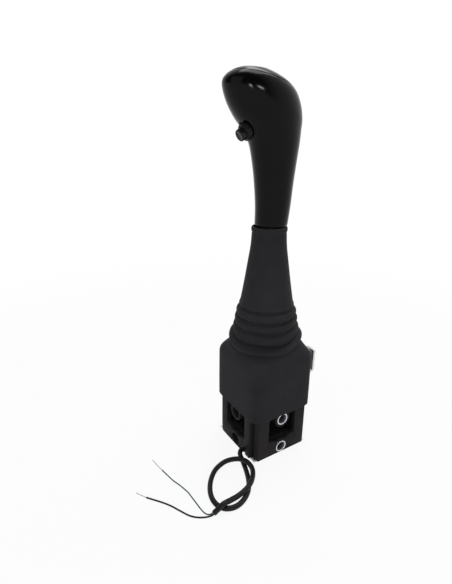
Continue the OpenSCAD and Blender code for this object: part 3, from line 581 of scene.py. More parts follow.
def sleeve_tree() -> GroupMaker:
    """Tree that sweeps a round tube along a polyline."""
    g = GroupMaker("swept_sleeve", "GeometryNodeTree", {
        "Geometry": "Geometry", "Radius": 0.002, "Sides": 32, "Material": "Material"}, {"Geometry": "Geometry"})
    line = g.node("GeometryNodeMeshToCurve", {"Mesh": g.given["Geometry"]}).outputs["Curve"]
    return g.painted(g.sweep(line, g.circle(g.given["Radius"], g.given["Sides"])))


def strand_tree() -> GroupMaker:
    """Tree that twists fine strands round a polyline as one bundle."""
    g = GroupMaker("twisted_strands", "GeometryNodeTree", {
        "Geometry": "Geometry", "Strand radius": 0.00012, "Bundle radius": 0.00024, "Strands": 6,
        "Twist per point": 0.35, "Material": "Material"}, {"Geometry": "Geometry"})
    line = g.node("GeometryNodeMeshToCurve", {"Mesh": g.given["Geometry"]}).outputs["Curve"]
    turn = g.maths("MULTIPLY", g.node("GeometryNodeInputIndex").outputs[0], g.given["Twist per point"])
    twisted = g.node("GeometryNodeSetCurveTilt", {"Curve": line, "Tilt": turn}).outputs["Curve"]
    strand = g.circle(g.given["Strand radius"], 7)
    around = g.node("GeometryNodeMeshCircle", {
        "Vertices": g.given["Strands"], "Radius": g.given["Bundle radius"]}).outputs["Mesh"]
    return g.painted(g.sweep(twisted, g.real(g.joined(g.instances(around, strand), strand))))


def ridge_tree() -> GroupMaker:
    """Tree that stands grip ridges round a nut."""
    g = GroupMaker("nut_ridges", "GeometryNodeTree", {
        "Geometry": "Geometry", "Ridges": 18, "Nut radius": 0.0066, "Ridge radius": 0.00045,
        "Ridge length": 0.0036, "Middle": 0.0023, "Material": "Material"}, {"Geometry": "Geometry"})
    circle = g.node("GeometryNodeMeshCircle", {"Vertices": g.given["Ridges"], "Radius": g.given["Nut radius"]})
    middle = g.node("ShaderNodeCombineXYZ", {"Z": g.given["Middle"]}).outputs[0]
    lifted = g.node("GeometryNodeTransform", {"Geometry": circle.outputs["Mesh"], "Translation": middle})
    ridge = g.node("GeometryNodeMeshCylinder", {
        "Vertices": 12, "Radius": g.given["Ridge radius"], "Depth": g.given["Ridge length"]})
    ridges = g.instances(lifted.outputs["Geometry"], ridge.outputs["Mesh"])
    return g.painted(g.joined(ridges, g.given["Geometry"]))


def thread_tree() -> GroupMaker:
    """Tree that winds a screw thread's ridge inside a bore along Z."""
    g = GroupMaker("bore_thread", "GeometryNodeTree", {
        "Geometry": "Geometry", "Bore radius": 0.0034, "Length": 0.007, "Turns": 6.0, "Ridge": 0.0004,
        "Material": "Material"}, {"Geometry": "Geometry"})
    spiral = g.node("GeometryNodeCurveSpiral", {
        "Resolution": 40, "Start Radius": g.given["Bore radius"], "End Radius": g.given["Bore radius"],
        "Height": g.given["Length"], "Rotations": g.given["Turns"]}).outputs["Curve"]
    coil = g.sweep(spiral, g.circle(g.given["Ridge"], 4))
    return g.painted(g.joined(coil, g.given["Geometry"]))


def grown(name: str, base: bpy.types.Mesh, tree: GroupMaker, values: dict[str, object],
          smooth_deg: float) -> bpy.types.Object:
    """A plain mesh object made by a geometry node tree.

    Args:
        name: name of the piece.
        base: mesh that the tree starts from.
        tree: the tree's maker.
        values: input values by name.
        smooth_deg: edges sharper than this stay sharp.

    Returns:
        The piece, with the tree's result as its mesh and no modifier.
    """
    host = placed(name, base)
    modifier = host.modifiers.new("shape", "NODES")
    modifier.node_group = tree.tree
    for key, value in values.items():
        modifier[tree.ids[key]] = value
    return applied(host, smooth_deg)


def line_mesh(points: list[Vector]) -> bpy.types.Mesh:
    """A mesh of one open polyline."""
    mesh = bpy.data.meshes.new("line")
    mesh.from_pydata([tuple(p) for p in points], [(i, i + 1) for i in range(len(points) - 1)], [])
    return mesh


# ---------------------------------------------------------------- sub-assemblies


@dataclass
class Viewpoint:
    """The studio camera."""

    focal_px: float = 400.0
    pitch_deg: float = 20.152
    roll_deg: float = 0.23
    azimuth_deg: float = 58.392
    distance_mm: float = 391.604
    right_mm: float = -34.774
    up_mm: float = 137.335
    frame_height_px: float = 584.0
    sensor_mm: float = 36.0

    def place(self) -> None:
        """Create the camera and make it the scene's camera."""
        az, el, roll = (math.radians(a) for a in (self.azimuth_deg, self.pitch_deg, self.roll_deg))
        back = Vector((math.sin(az) * math.cos(el), -math.cos(az) * math.cos(el), math.sin(el)))
        right = Vector((math.cos(az), math.sin(az), 0.0))
        up = back.cross(right)
        spot = (right * self.right_mm + up * self.up_mm + back * self.distance_mm) * MM
        turned_right = right * math.cos(roll) + up * math.sin(roll)
        turned_up = up * math.cos(roll) - right * math.sin(roll)
        lens = bpy.data.cameras.new("camera")
        lens.sensor_width = self.sensor_mm
        lens.lens = self.focal_px / self.frame_height_px * self.sensor_mm
        lens.clip_start, lens.clip_end = 0.01, 50.0
        camera = placed("camera", lens)
        turn = Matrix((turned_right, turned_up, back)).transposed().to_4x4()
        camera.matrix_world = Matrix.Translation(spot) @ turn
        bpy.context.scene.camera = camera


@dataclass
class TwoCoreLead:
    """The short lead with its two insulated wires and their tinned tips."""

    radius: float = 2.1
    wire_radius: float = 0.65
    thin_wire_radius: float = 0.5
    strand_radius: float = 0.13
    route: tuple[Point, ...] = (
        (13, -30.5, 3.8), (13.2, -32.4, 3.3), (15.6, -35, 2.6), (20.3, -36.5, 2.2), (26.5, -38.5, 2.2),
        (33.7, -40.8, 2.2), (40.7, -43.6, 2.2), (45.9, -46.2, 2.2), (50.6, -49.5, 2.2), (54.7, -53.5, 2.2),
        (58.3, -59, 2.2), (60.4, -64.8, 2.2), (60.6, -70.1, 2.2), (59, -74.8, 2.2), (56, -78.2, 2.2),
        (51.6, -80.2, 2.2), (46.3, -80.6, 2.2), (40.9, -79.5, 2.2), (35.5, -77.2, 2.2), (30.1, -73.7, 2.2),
        (25.1, -69.3, 2.2), (20.8, -63.8, 2.4), (18.5, -57.6, 3), (18.2, -51.7, 4), (20.4, -46.2, 5.3),
        (24.3, -41.6, 6.6), (29, -38.7, 7.1), (34.7, -37.6, 7), (40.6, -38.8, 6.7), (46.1, -42.4, 6.9),
        (50.8, -47.3, 7.1), (53.8, -52.6, 7), (55.1, -58.2, 6), (55.7, -64.2, 5.2), (56.6, -71.2, 6),
        (57.4, -77.7, 6.9), (57.5, -82.3, 4.6), (57.2, -86, 2.3))
    green: tuple[Point, ...] = (
        (56.4, -86.2, 2.4), (56, -89, 1.6), (53, -91, 0.8), (48, -92, 0.6), (40.5, -92.5, 0.6),
        (33, -93, 0.6), (27.5, -93.5, 0.6), (18, -96, 0.6), (11, -98.5, 0.6), (4.5, -100, 0.6),
        (-5, -102, 0.6), (-12, -103.3, 0.6), (-20, -104.5, 0.6))
    black: tuple[Point, ...] = (
        (57.9, -86.2, 2.2), (57.2, -89, 1.2), (55.5, -93, 0.7), (52.5, -98, 0.7), (48, -102.3, 0.7),
        (40.5, -106.5, 0.7), (33, -110.5, 0.7), (26.5, -115, 0.7), (21, -119.5, 0.7), (15.5, -124, 0.7),
        (7, -129.5, 0.7))

    def sleeve(self, name: str, points: list[Vector], radius: float, sides: int, palette: Palette,
               finish: Finish) -> bpy.types.Object:
        """A round tube along points, dressed."""
        piece = grown(name, line_mesh(points), sleeve_tree(), {
            "Radius": radius * MM, "Sides": sides, "Material": palette.material(finish)}, 50.0)
        return dress(piece, palette, finish)

    def wire(self, name: str, rows: tuple[Point, ...], bare: int, radius: float, palette: Palette, finish: Finish,
             node: str) -> None:
        """One insulated wire and the tinned strands at its end.

        Args:
            name: name of the insulated piece.
            rows: route in millimetres, bare tip included.
            bare: how many of the last points the bare tip follows.
            radius: radius over the insulation in millimetres.
            palette: the finishes.
            finish: the insulation's finish.
            node: the CAD node that the wire stands for.
        """
        covered = in_metres(rows[:len(rows) - bare + 1], 6)
        tip = in_metres(rows[len(rows) - bare:], 12)
        piece = self.sleeve(name, covered, radius, 20, palette, finish)
        strands = grown(name + "_strands", line_mesh(tip), strand_tree(), {
            "Strand radius": self.strand_radius * MM, "Bundle radius": self.strand_radius * 2 * MM,
            "Strands": 6, "Twist per point": 0.3, "Material": palette.material(TIN)}, 60.0)
        dress(strands, palette, TIN)
        for part in (piece, strands):
            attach(part, Body.HOUSING.value)
        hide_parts(node)

    def build(self, palette: Palette) -> None:
        points = in_metres(self.route, 5)
        lead = self.sleeve("lead_sheath", points, self.radius, 40, palette, SHEATH)
        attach(lead, Body.HOUSING.value)
        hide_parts("lead_cable")
        self.wire("green_wire", self.green, 3, self.thin_wire_radius, palette, GREEN, "wire_green")
        self.wire("black_wire", self.black, 2, self.wire_radius, palette, BLACK, "wire_black")


@dataclass
class Boot:
    """The moulded boot: a square skirt, a shoulder, bellows and a long cone up to the grip."""

    half_width: float = 32.1
    corner: float = 8.6
    wall: float = 0.9
    hem: float = 41.7
    split: float = 111.9
    segments: int = 224
    slack_angle: float = math.radians(-48.0)
    seam_proud: float = 0.22
    crease_width: float = 0.95
    creases: tuple[Row, ...] = ((97.3, 0.9), (110.8, 1.4), (120.1, 1.4), (127.4, 1.4), (134.2, 1.1))
    dents: tuple[Row, ...] = (
        (-46.0, 87.5, 6.0, 3.0, -0.8), (-56.0, 115.5, 12.0, 3.2, 2.6), (-51.0, 119.6, 6.0, 1.6, 1.6),
        (-45.0, 110.0, 34.0, 3.0, 1.3))
    settled_front: tuple[Row, ...] = (
        (76.0, 0.0), (84.0, 2.6), (89.0, 3.6), (97.2, 1.6), (103.1, 0.9), (107.0, -2.6), (111.0, -4.4),
        (120.1, -2.5), (127.4, -1.2), (134.2, 1.0), (145.0, 0.0))
    settled_round: tuple[Row, ...] = (
        (76.0, 0.0), (84.0, 3.0), (89.0, 4.4), (97.2, 5.0), (103.1, 5.0), (108.2, 4.0), (111.0, 3.0),
        (120.1, 1.5), (127.4, 1.0), (134.2, 0.5), (145.0, 0.0))
    settled_right: tuple[Row, ...] = (
        (76.0, 0.0), (84.0, 2.0), (97.2, 2.6), (104.0, 1.4), (112.0, 0.0))
    shoulder: tuple[Row, ...] = (
        (82.0, 1.0), (84.7, 0.985), (86.9, 0.93), (89.0, 0.8), (91.0, 0.62), (93.1, 0.4), (94.9, 0.2),
        (96.2, 0.07), (97.2, 0.0))
    profile: tuple[Row, ...] = (
        (30.5, 97.2), (30.4, 98.3), (31.0, 99.5), (31.8, 101.1), (32.0, 103.1), (31.6, 105.1), (30.5, 106.9),
        (29.2, 108.2), (28.2, 109.5), (27.7, 111.0), (27.8, 111.9), (28.3, 113.3), (28.5, 114.9), (28.1, 116.5),
        (27.2, 117.9), (26.4, 119.1), (26.0, 120.1), (26.3, 121.1), (26.9, 122.5), (27.0, 124.0), (26.5, 125.4),
        (25.5, 126.6), (24.9, 127.4), (25.1, 128.4), (25.7, 129.7), (25.7, 131.1), (25.0, 132.5), (23.8, 133.5),
        (23.1, 134.2), (23.2, 135.2), (23.5, 136.5), (23.1, 138.1), (22.4, 139.9), (21.2, 146.7), (19.1, 159.3),
        (17.0, 172.9), (15.2, 184.5), (14.6, 190.3), (14.3, 195.1), (14.1, 198.3), (14.15, 199.0),
        (14.5, 199.7), (14.6, 200.4), (14.6, 201.6), (14.4, 202.5), (13.9, 203.0))

    def square_reach(self, angle: float, half: float, corner: float) -> float:
        """Distance from the axis to the soft-cornered square's outline at an angle."""
        corner = min(corner, half * 0.9)
        diagonal = (half - corner) * math.sqrt(2) + corner
        power = math.log(2) / math.log(half * math.sqrt(2) / diagonal)
        c, s = abs(math.cos(angle)), abs(math.sin(angle))
        return half / (c ** power + s ** power) ** (1 / power)

    def angles(self) -> list[float]:
        """Angles of a ring's points, closer together at the two mould lines."""
        even = [2 * math.pi * k / self.segments for k in range(self.segments)]
        fine = [side + step * 0.15 / self.half_width
                for side in (0.0, math.pi) for step in (-6, -4, -2, -1, 1, 2, 4, 6)]
        return sorted(even + [a % (2 * math.pi) for a in fine])

    def lift(self, angle: float, height: float) -> float:
        """How far the soft rubber has settled up or down at a point of the folds."""
        facing = math.cos(angle - self.slack_angle)
        share = min(max(facing + 0.15, 0.0), 1.0)
        share = share * share * (3 - 2 * share)
        return (interpolated(self.settled_front, height) * share
                + interpolated(self.settled_round, height) * (1 - share)
                + interpolated(self.settled_right, height) * max(math.sin(angle - self.slack_angle), 0.0) ** 2)

    def press(self, angle: float, height: float) -> float:
        """How far a point stands in (negative) or out: creases, dents and the mould lines."""
        amount = -sum(depth * math.exp(-((height - crease) / self.crease_width) ** 2)
                      for crease, depth in self.creases)
        for centre, height_at, wide, tall, depth in self.dents:
            turn = math.remainder(angle - math.radians(centre), 2 * math.pi) / math.radians(wide)
            amount -= depth * math.exp(-turn * turn - ((height - height_at) / tall) ** 2)
        across = math.sin(angle) * self.half_width
        seam = min(max((108.0 - height) / 6, 0.0), 1.0)
        return amount + self.seam_proud * seam * math.exp(-(across / 0.3) ** 2)

    def ring(self, height: float, inset: float, share: float, radius: float, fillet: float) -> list[Point]:
        """A ring between the square outline (share 1) and a circle (share 0)."""
        ring: list[Point] = []
        for angle in self.angles():
            square = self.square_reach(angle, self.half_width - inset, max(self.corner - inset, 0.5) + fillet)
            reach = (radius - inset) * (1 - share) + square * share + self.press(angle, height)
            ring.append((reach * math.cos(angle), reach * math.sin(angle), height + self.lift(angle, height)))
        return ring

    def rows(self) -> list[Row]:
        """Heights, shares, radii and extra corner fillets from the hem to the rim."""
        round_radius = self.profile[0][0]
        skirt = ((self.hem, 0.0), (self.hem + 0.25, 0.0), (self.hem + 1.0, 0.0), (60.0, 0.0), (76.0, 0.4))
        rows = [(z, 1.0, round_radius, fillet) for z, fillet in skirt]
        rows += [(z, share, round_radius, 0.5 + 9 * (1 - share))
                 for z, share in smooth_rows(self.shoulder, 3)]
        rows += [(z, 0.0, r, 0.0) for r, z in smooth_rows(self.profile, 3)[1:]]
        return rows

    def shell(self, name: str, low: float, high: float) -> bpy.types.Object:
        """The part of the boot between two heights, as a closed thin shell."""
        outer, inner = [], []
        for index, (z, share, radius, fillet) in enumerate(self.rows()):
            if not low - 1e-6 <= z <= high + 1e-6:
                continue
            lip = 0.25 if index == 0 else 0.0
            outer.append(self.ring(z, lip, share, radius, fillet))
            inner.append(self.ring(z, self.wall, share, radius, fillet))
        mesh = loft(name, outer + inner[::-1], wrap=True)
        return mesh_object(name, mesh, 60.0)

    def build(self, palette: Palette) -> None:
        """Make the two pieces of the boot."""
        skirt = self.shell("boot_skirt", self.hem, self.split)
        bellows = self.shell("boot_bellows", self.split, 300.0)
        for piece in (skirt, bellows):
            dress(piece, palette, BOOT)
        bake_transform(skirt)
        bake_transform(bellows)
        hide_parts("boot")


@dataclass
class Grip:
    """The palm grip and its separate cap."""

    low: float = 203.6
    slope_deg: float = 11.0
    joint: float = 304.5
    groove: float = 0.2
    segments: int = 160
    steps: int = 12
    button_tilt_deg: float = 28.0
    button_at: Point = (0.0, -23.5, 273.7)
    recess: float = 7.6
    bore_radius: float = 7.02
    bore_top: float = 247.0
    barrel_radius: float = 6.02
    screw_radius: float = 2.03
    screw_height: float = 228.6
    smooth_deg: float = 30.0
    crown: tuple[float, float] = (110.7, -23.3)
    stations: tuple[Row, ...] = (
        (0, -12, 14.5, 13.2), (15.5, -12, 16.5, 13.8), (33, -13.5, 18, 14.8), (48, -15.7, 19.6, 16.2),
        (61.5, -19, 21.2, 17.6), (70.5, -24.5, 21.8, 19), (78.5, -31.8, 22, 20.8), (87.5, -38, 20, 21.5),
        (96, -41.6, 15.4, 21), (101.8, -42.2, 8.6, 19), (106, -39, 0.2, 15.4), (109, -33.5, -8, 10.7))

    def oval(self, rise: float, front: float, back: float, half: float) -> list[Point]:
        """One cross-section of the grip."""
        middle, depth = (front + back) / 2, (back - front) / 2
        return [(half * math.cos(2 * math.pi * k / self.segments),
                 middle + depth * math.sin(2 * math.pi * k / self.segments), self.low + rise)
                for k in range(self.segments)]

    def form(self) -> bpy.types.Mesh:
        """The whole grip as one closed form, with a rounded bottom edge and a crown."""
        rows = smooth_rows(self.stations, self.steps)
        foot = [(0.0, rows[0][1] + 0.8, rows[0][2] - 0.8, rows[0][3] - 0.8),
                (0.25, rows[0][1] + 0.3, rows[0][2] - 0.3, rows[0][3] - 0.3)]
        rows = foot + [(0.8, *rows[0][1:])] + [r for r in rows if r[0] > 1.0]
        top, peak = rows[-1], self.crown
        for k in range(1, 9):
            t = k / 9
            middle = (top[1] + top[2]) / 2 * (1 - t) + peak[1] * t
            depth, half = (top[2] - top[1]) / 2, top[3]
            lift = top[0] + (peak[0] - top[0]) * (1 - (1 - t) ** 2)
            shrink = 1 - t
            rows.append((lift, middle - depth * shrink, middle + depth * shrink, half * shrink))
        return loft("grip_form", [self.oval(*row) for row in rows])

    def split(self, above: bool) -> bpy.types.Mesh:
        """The grip's form above or below the sloped joint, with its edge broken."""
        bm = bmesh.new()
        bm.from_mesh(self.form())
        slope = math.radians(self.slope_deg)
        normal = Vector((0.0, math.sin(slope), math.cos(slope)))
        centre = Vector((0, 0, self.joint * MM)) + normal * (self.groove if above else -self.groove) * MM
        bmesh.ops.bisect_plane(bm, geom=bm.verts[:] + bm.edges[:] + bm.faces[:], plane_co=centre, plane_no=normal,
                               clear_inner=above, clear_outer=not above)
        rim = [e for e in bm.edges if e.is_boundary]
        bmesh.ops.edgeloop_fill(bm, edges=rim)
        bmesh.ops.bevel(bm, geom=rim, offset=0.22 * MM, segments=2, affect="EDGES", profile=0.6)
        bmesh.ops.recalc_face_normals(bm, faces=bm.faces)
        return mesh_of(bm, "grip_split")

    def button_frame(self) -> Matrix:
        """Matrix from the push-button's own axis to its place."""
        turn = Matrix.Rotation(math.radians(90 + self.button_tilt_deg), 4, "X")
        return Matrix.Translation(Vector(self.button_at) * MM) @ turn

    def build(self, palette: Palette) -> None:
        """Make the grip's body and cap."""
        recess = rounded_outline([(0.01, 0.0), (self.recess, 0.0), (self.recess, 22.0), (0.01, 22.0)], 0.3, 3)
        pocket = lathe("pocket", recess, wrap=False)
        bore = plug("bore", self.bore_radius, self.low - 2, self.bore_top, 64)
        barrel = plug("barrel", self.barrel_radius, -10.0, 1.0, 64)
        screw = plug("screw", self.screw_radius, 6.0, 30.0, 40)
        for cutter in (pocket, barrel):
            cutter.transform(self.button_frame())
        screw.transform(Matrix.Translation((0, 0, self.screw_height * MM))
                        @ Matrix.Rotation(math.radians(-90), 4, "X"))
        body = mesh_object("grip_body", self.split(False), self.smooth_deg)
        for cutter in (pocket, bore, barrel, screw):
            body = combined(body, cutter, "DIFFERENCE", self.smooth_deg)
        cap = mesh_object("grip_cap_moulding", self.split(True), self.smooth_deg)
        for piece, finish, node in ((body, GRIP, "grip_shell"), (cap, CAP, "grip_cap")):
            dress(piece, palette, finish)
            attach(piece, Body.LEVER.value)
            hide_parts(node)


@dataclass
class PushButton:
    """The push-button's knurled nut, its barrel and its moving cap."""

    frame: Matrix
    nut_radius: float = 6.25
    nut_height: float = 3.4
    barrel_radius: float = 5.6
    ridges: int = 18
    cap_radius: float = 4.4
    cap_top: float = 8.1
    stem_radius: float = 1.3

    def build(self, palette: Palette) -> None:
        """Make the barrel, the nut with its ridges and the dished cap."""
        height, r = self.nut_height, self.cap_radius
        nut = lathe("nut_base", rounded_outline(
            [(self.barrel_radius + 0.02, 0.0), (self.nut_radius, 0.0), (self.nut_radius, height),
             (self.barrel_radius + 0.02, height)], 0.25, 4), 96)
        nut = grown("button_nut", nut, ridge_tree(), {
            "Ridges": self.ridges, "Nut radius": (self.nut_radius - 0.1) * MM, "Ridge radius": 0.3 * MM,
            "Ridge length": (height - 0.8) * MM, "Middle": height / 2 * MM, "Material": palette.material(NUT)}, 35.0)
        barrel = mesh_object("button_body", lathe("barrel", rounded_outline(
            [(r + 0.1, -8.0), (self.barrel_radius, -8.0), (self.barrel_radius, height + 0.8),
             (r + 0.1, height + 0.8)], 0.25, 4), 96), 35.0)
        for piece, node in ((nut, "button_bezel"), (barrel, "button_barrel")):
            piece.data.transform(self.frame)
            dress(piece, palette, NUT)
            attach(piece, Body.LEVER.value)
            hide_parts(node)
        top = self.cap_top
        outline = [(0.01, 1.0), (r, 1.0), (r, top - 0.8), (r - 0.25, top - 0.3), (r - 0.8, top),
                   (r - 1.25, top - 0.05), (r - 1.7, top - 0.3), (r - 3.2, top - 0.5), (0.01, top - 0.55)]
        cap = mesh_object("button_cap", lathe("cap", outline, wrap=False), EDGE_DEG)
        stem = plug("stem", self.stem_radius, -2.7, 1.0, 40)
        bm = bmesh.new()
        bm.from_mesh(cap.data)
        bm.from_mesh(stem)
        bm.to_mesh(cap.data)
        bm.free()
        cap.data.transform(self.frame)
        cap.data.set_sharp_from_angle(angle=math.radians(EDGE_DEG))
        dress(cap, palette, BUTTON)
        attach(cap, Body.BUTTON.value)
        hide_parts("button_plunger")


@dataclass
class Housing:
    """The cast housing with its flanged inserts, and a dark sheet inside it that is painted shade."""

    edge_mm: float = 0.5
    insert_heights: tuple[float, float] = (6.1, 35.7)
    face: float = 30.3
    bore: float = 3.4
    flange: float = 5.48
    body: float = 4.78
    length: float = 8.3
    rim: float = 4.5
    screen_reach: float = 21.4
    screen_half: float = 15.5
    screen_low: float = 15.35
    screen_high: float = 52.0
    screen_wall: float = 0.5
    toe: Row = (16.5, 22.95, -29.97, -26.6, 6.5)
    toe_round: float = 1.2

    def quarter(self) -> list[float]:
        """Angles of a quarter turn."""
        return [math.radians(15 * k) for k in range(7)]

    def inserts(self, palette: Palette) -> None:
        """The bright flanged inserts at both side faces, and the threads in them, whose linings are painted dark as
        painted shade in the bores.
        """
        sleeve = rounded_outline([
            (self.rim, 0.0), (self.flange, 0.0), (self.flange, -1.3), (self.body, -1.3),
            (self.body, -self.length), (self.rim - 0.2, -self.length), (self.rim - 0.2, -0.5)], 0.12, 3)
        # The lining inside each insert is painted dark with the thread finish, as painted shade.
        lining = [(self.rim - 0.2, -0.2), (self.rim - 0.2, -self.length), (self.bore, -self.length),
                  (self.bore, -1.1)]
        shells, threads = bmesh.new(), bmesh.new()
        for side in (0, math.pi):
            for height in self.insert_heights:
                place = (Matrix.Rotation(side, 4, "Z") @ Matrix.Translation((self.face * MM, 0, height * MM))
                         @ Matrix.Rotation(math.radians(90), 4, "Y"))
                for outline, target in ((sleeve, shells), (lining, threads)):
                    ring = lathe("insert", outline, 72)
                    ring.transform(place)
                    target.from_mesh(ring)
                coil = grown("coil", line_mesh([]), thread_tree(), {
                    "Bore radius": (self.bore + 0.12) * MM, "Length": 6.6 * MM, "Turns": 5.3, "Ridge": 0.36 * MM,
                    "Material": palette.material(THREAD_PAINTED_SHADE)}, 30.0)
                coil.data.transform(place @ Matrix.Translation((0, 0, -7.6 * MM)))
                threads.from_mesh(coil.data)
                bpy.data.objects.remove(coil)
        for name, bm, finish in (("side_inserts", shells, INSERT), ("insert_threads", threads, THREAD_PAINTED_SHADE)):
            piece = dress(mesh_object(name, mesh_of(bm, name)), palette, finish)
            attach(piece, Body.HOUSING.value)
            if finish is INSERT:
                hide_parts("threaded_inserts")

    def screen(self, palette: Palette) -> None:
        """A thin bent dark sheet behind the two far windows, as painted shade that keeps them from being seen
        through.
        """
        reach, low, high = self.screen_reach, self.screen_low, self.screen_high
        bend = [(-reach + 3 - 3 * math.sin(a), reach - 3 + 3 * math.cos(a)) for a in reversed(self.quarter())]
        path = [(-reach, -self.screen_half), *bend, (self.screen_half, reach)]
        inside = [(x + self.screen_wall * (1 if x < 0 else 0), y - self.screen_wall * (1 if y > 0 else 0))
                  for x, y in path]
        rings = [[(x, y, z) for x, y in path + inside[::-1]] for z in (low, low + 0.3, high - 0.3, high)]
        piece = mesh_object("dust_screen", loft("dust_screen", rings))
        # The sheet takes the dark connector finish, so the windows read as painted shade.
        dress(piece, palette, NYLON)
        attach(piece, Body.HOUSING.value)

    def build(self, palette: Palette) -> None:
        """Dress the housing and what is fixed to it."""
        shell = merged_copy("housing", "housing_casting", self.edge_mm * MM)
        x0, x1, y0, y1, top = self.toe
        r = self.toe_round
        arc = [(x1 - r + r * math.sin(a), r - r * math.cos(a)) for a in self.quarter()]
        side = [(x0, 0.0), *arc, (x1, top), (x0, top)]
        toe = loft("toe", [[(x, y, z) for x, z in side] for y in (y1, y0)])
        shell = combined(shell, toe, "UNION", 35.0)
        dress(shell, palette, HOUSING)
        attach(shell, Body.HOUSING.value)
        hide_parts("housing")
        self.inserts(palette)
        self.screen(palette)


@dataclass
class BrakeTab:
    """The bent strip at the rear."""

    edge_mm: float = 0.3

    def build(self, palette: Palette) -> None:
        """Break the strip's edges and plate it."""
        tab = merged_copy("brake_lever", "brake_strip", self.edge_mm * MM)
        dress(tab, palette, ZINC)
        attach(tab, Body.BRAKE.value)
        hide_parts("brake_lever")


CARRIED = {
    "cable_plate": BLACKED, "plate_screws": BLACKED, "ring_bushes": BRONZE, "bail_bushes": BRONZE,
    "brake_pin": STEEL, "lead_grommet": SHEATH, "inner_lead": SHEATH, "lead_connector": NYLON,
    "gimbal_ring": BLACKED, "ring_trunnions": STEEL, "ring_fork_pin": BLACKED, "ring_fork": BLACKED,
    "bail": BLACKED, "bail_trunnions": STEEL, "bail_fork_pin": BLACKED, "bail_fork": BLACKED,
    "lever_hub": BLACKED, "hub_pin": STEEL, "lever_tail": BLACKED, "lever_tube": BLACKED, "tube_jam_nut": BLACKED,
    "cap_pins": CAP, "grip_set_screw": BLACKED, "button_switch": SWITCH,
    "switch_leads": GREEN, "button_spring": STEEL}


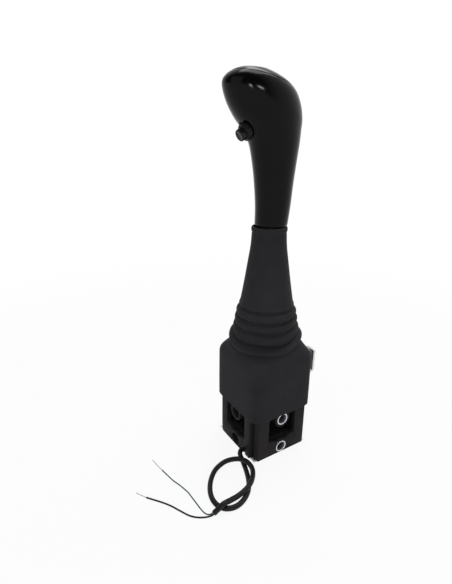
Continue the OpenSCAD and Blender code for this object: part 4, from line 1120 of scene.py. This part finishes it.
@dataclass
class Studio:
    """Pale floor, soft lamps and a white surround."""

    floor_radius: float = 6.0
    floor_value: float = 0.9
    plain_near: float = 0.9
    foot_half: float = 0.0295
    foot_fade: float = 0.0015
    fade_from: float = 0.3
    fade_to: float = 0.75
    fill: float = 0.36
    bright_side: float = 0.95
    dim_side: float = 0.1
    dim_towards: Point = (0.45, -0.85, 0.25)

    def floor(self) -> None:
        """A pale disc that keeps a faint shadow and turns to plain white away from the object."""
        bm = bmesh.new()
        bmesh.ops.create_circle(bm, cap_ends=True, segments=96, radius=self.floor_radius)
        floor = placed("floor", mesh_of(bm, "floor"))
        material = bpy.data.materials.new("floor_paper")
        material.use_nodes = True
        nodes, w = material.node_tree.nodes, Wiring(material.node_tree)
        paper = nodes["Principled BSDF"]
        w.feed_all(paper, {
            "Base Color": (self.floor_value,) * 3 + (1.0,), "Roughness": 0.9, "Specular IOR Level": 0.2})
        glow = w.node("ShaderNodeEmission", {"Color": WHITE})
        place = w.node("ShaderNodeTexCoord").outputs["Object"]
        reach = w.node("ShaderNodeVectorMath", {0: place}, operation="LENGTH").outputs["Value"]
        fade = w.node("ShaderNodeMapRange", {
            "Value": reach, "From Min": self.fade_from, "From Max": self.fade_to, "To Min": self.plain_near},
            interpolation_type="SMOOTHSTEP").outputs["Result"]
        factor = w.maths("MULTIPLY", fade, w.seen("Is Camera Ray", "Is Glossy Ray", "Is Transmission Ray"))
        shown = w.maths("MULTIPLY", factor, self.outside_foot(w, place))
        w.feed(w.mix_shader(shown, paper.outputs[0], glow.outputs[0]), nodes["Material Output"].inputs["Surface"])
        floor.data.materials.append(material)

    def outside_foot(self, w: Wiring, place: Socket) -> Socket:
        """One on the floor outside the housing's square foot, zero below it."""
        size = w.node("ShaderNodeVectorMath", {0: place}, operation="ABSOLUTE").outputs["Vector"]
        parts = w.node("ShaderNodeSeparateXYZ", {0: size})
        return w.node("ShaderNodeMapRange", {
            "Value": w.maths("MAXIMUM", parts.outputs["X"], parts.outputs["Y"]),
            "From Min": self.foot_half - self.foot_fade, "From Max": self.foot_half}).outputs["Result"]

    def surround(self) -> None:
        """World light: white where it is seen, a soft fill on the object, a dim side in reflections."""
        world = bpy.data.worlds.new("surround")
        bpy.context.scene.world = world
        world.use_nodes = True
        nodes, w = world.node_tree.nodes, Wiring(world.node_tree)
        soft = nodes["Background"]
        w.feed_all(soft, {"Color": WHITE, "Strength": self.fill})
        white = w.node("ShaderNodeBackground", {"Color": WHITE})
        place = w.node("ShaderNodeTexCoord").outputs["Generated"]
        towards = w.node("ShaderNodeVectorMath", {
            0: place, 1: Vector(self.dim_towards).normalized()}, operation="DOT_PRODUCT").outputs["Value"]
        shade = w.node("ShaderNodeMapRange", {
            "Value": towards, "From Min": -0.15, "From Max": 0.55, "To Min": self.bright_side,
            "To Max": self.dim_side}, interpolation_type="SMOOTHSTEP").outputs["Result"]
        mirrored = w.node("ShaderNodeBackground", {"Color": WHITE, "Strength": shade})
        reflected = w.mix_shader(w.seen("Is Glossy Ray", "Is Transmission Ray"), soft.outputs[0], mirrored.outputs[0])
        direct = w.mix_shader(w.seen("Is Camera Ray"), reflected, white.outputs[0])
        w.feed(direct, nodes["World Output"].inputs["Surface"])

    def lamp(self, name: str, spot: Point, target: Point, size: tuple[float, float], power: float) -> None:
        """One rectangular softbox turned to a target."""
        light = bpy.data.lights.new(name, "AREA")
        light.shape = "RECTANGLE"
        light.size, light.size_y = size
        light.energy = power
        lamp = placed(name, light)
        lamp.location = spot
        lamp.rotation_euler = (Vector(target) - Vector(spot)).to_track_quat("-Z", "Y").to_euler()

    def build(self) -> None:
        """Set up the whole studio."""
        self.floor()
        self.surround()
        self.lamp("overhead", (-0.25, 0.45, 1.7), (0, 0, 0.15), (1.1, 1.1), 16.0)
        self.lamp("front", (0.3, -1.6, 0.9), (0, 0, 0.12), (1.5, 1.5), 5.5)
        self.lamp("side_left", (1.043, -0.651, 0.284), (0.016, -0.032, 0.301), (0.11, 0.05), 1.3)
        self.lamp("side_right", (1.208, -0.161, 0.393), (0.019, -0.026, 0.3), (0.26, 0.06), 2.1)
        bpy.context.scene.view_settings.view_transform = "Standard"


def main() -> None:
    """Build every piece, the studio and the camera."""
    logging.basicConfig(level=logging.INFO, format="%(name)s: %(message)s")
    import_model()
    Viewpoint().place()
    palette = Palette()
    palette.prepare()
    TwoCoreLead().build(palette)
    Housing().build(palette)
    Boot().build(palette)
    grip = Grip()
    grip.build(palette)
    PushButton(grip.button_frame()).build(palette)
    BrakeTab().build(palette)
    for node, finish in CARRIED.items():
        dress_node(node, palette, finish)
    Studio().build()


if __name__ == "__main__":
    main()
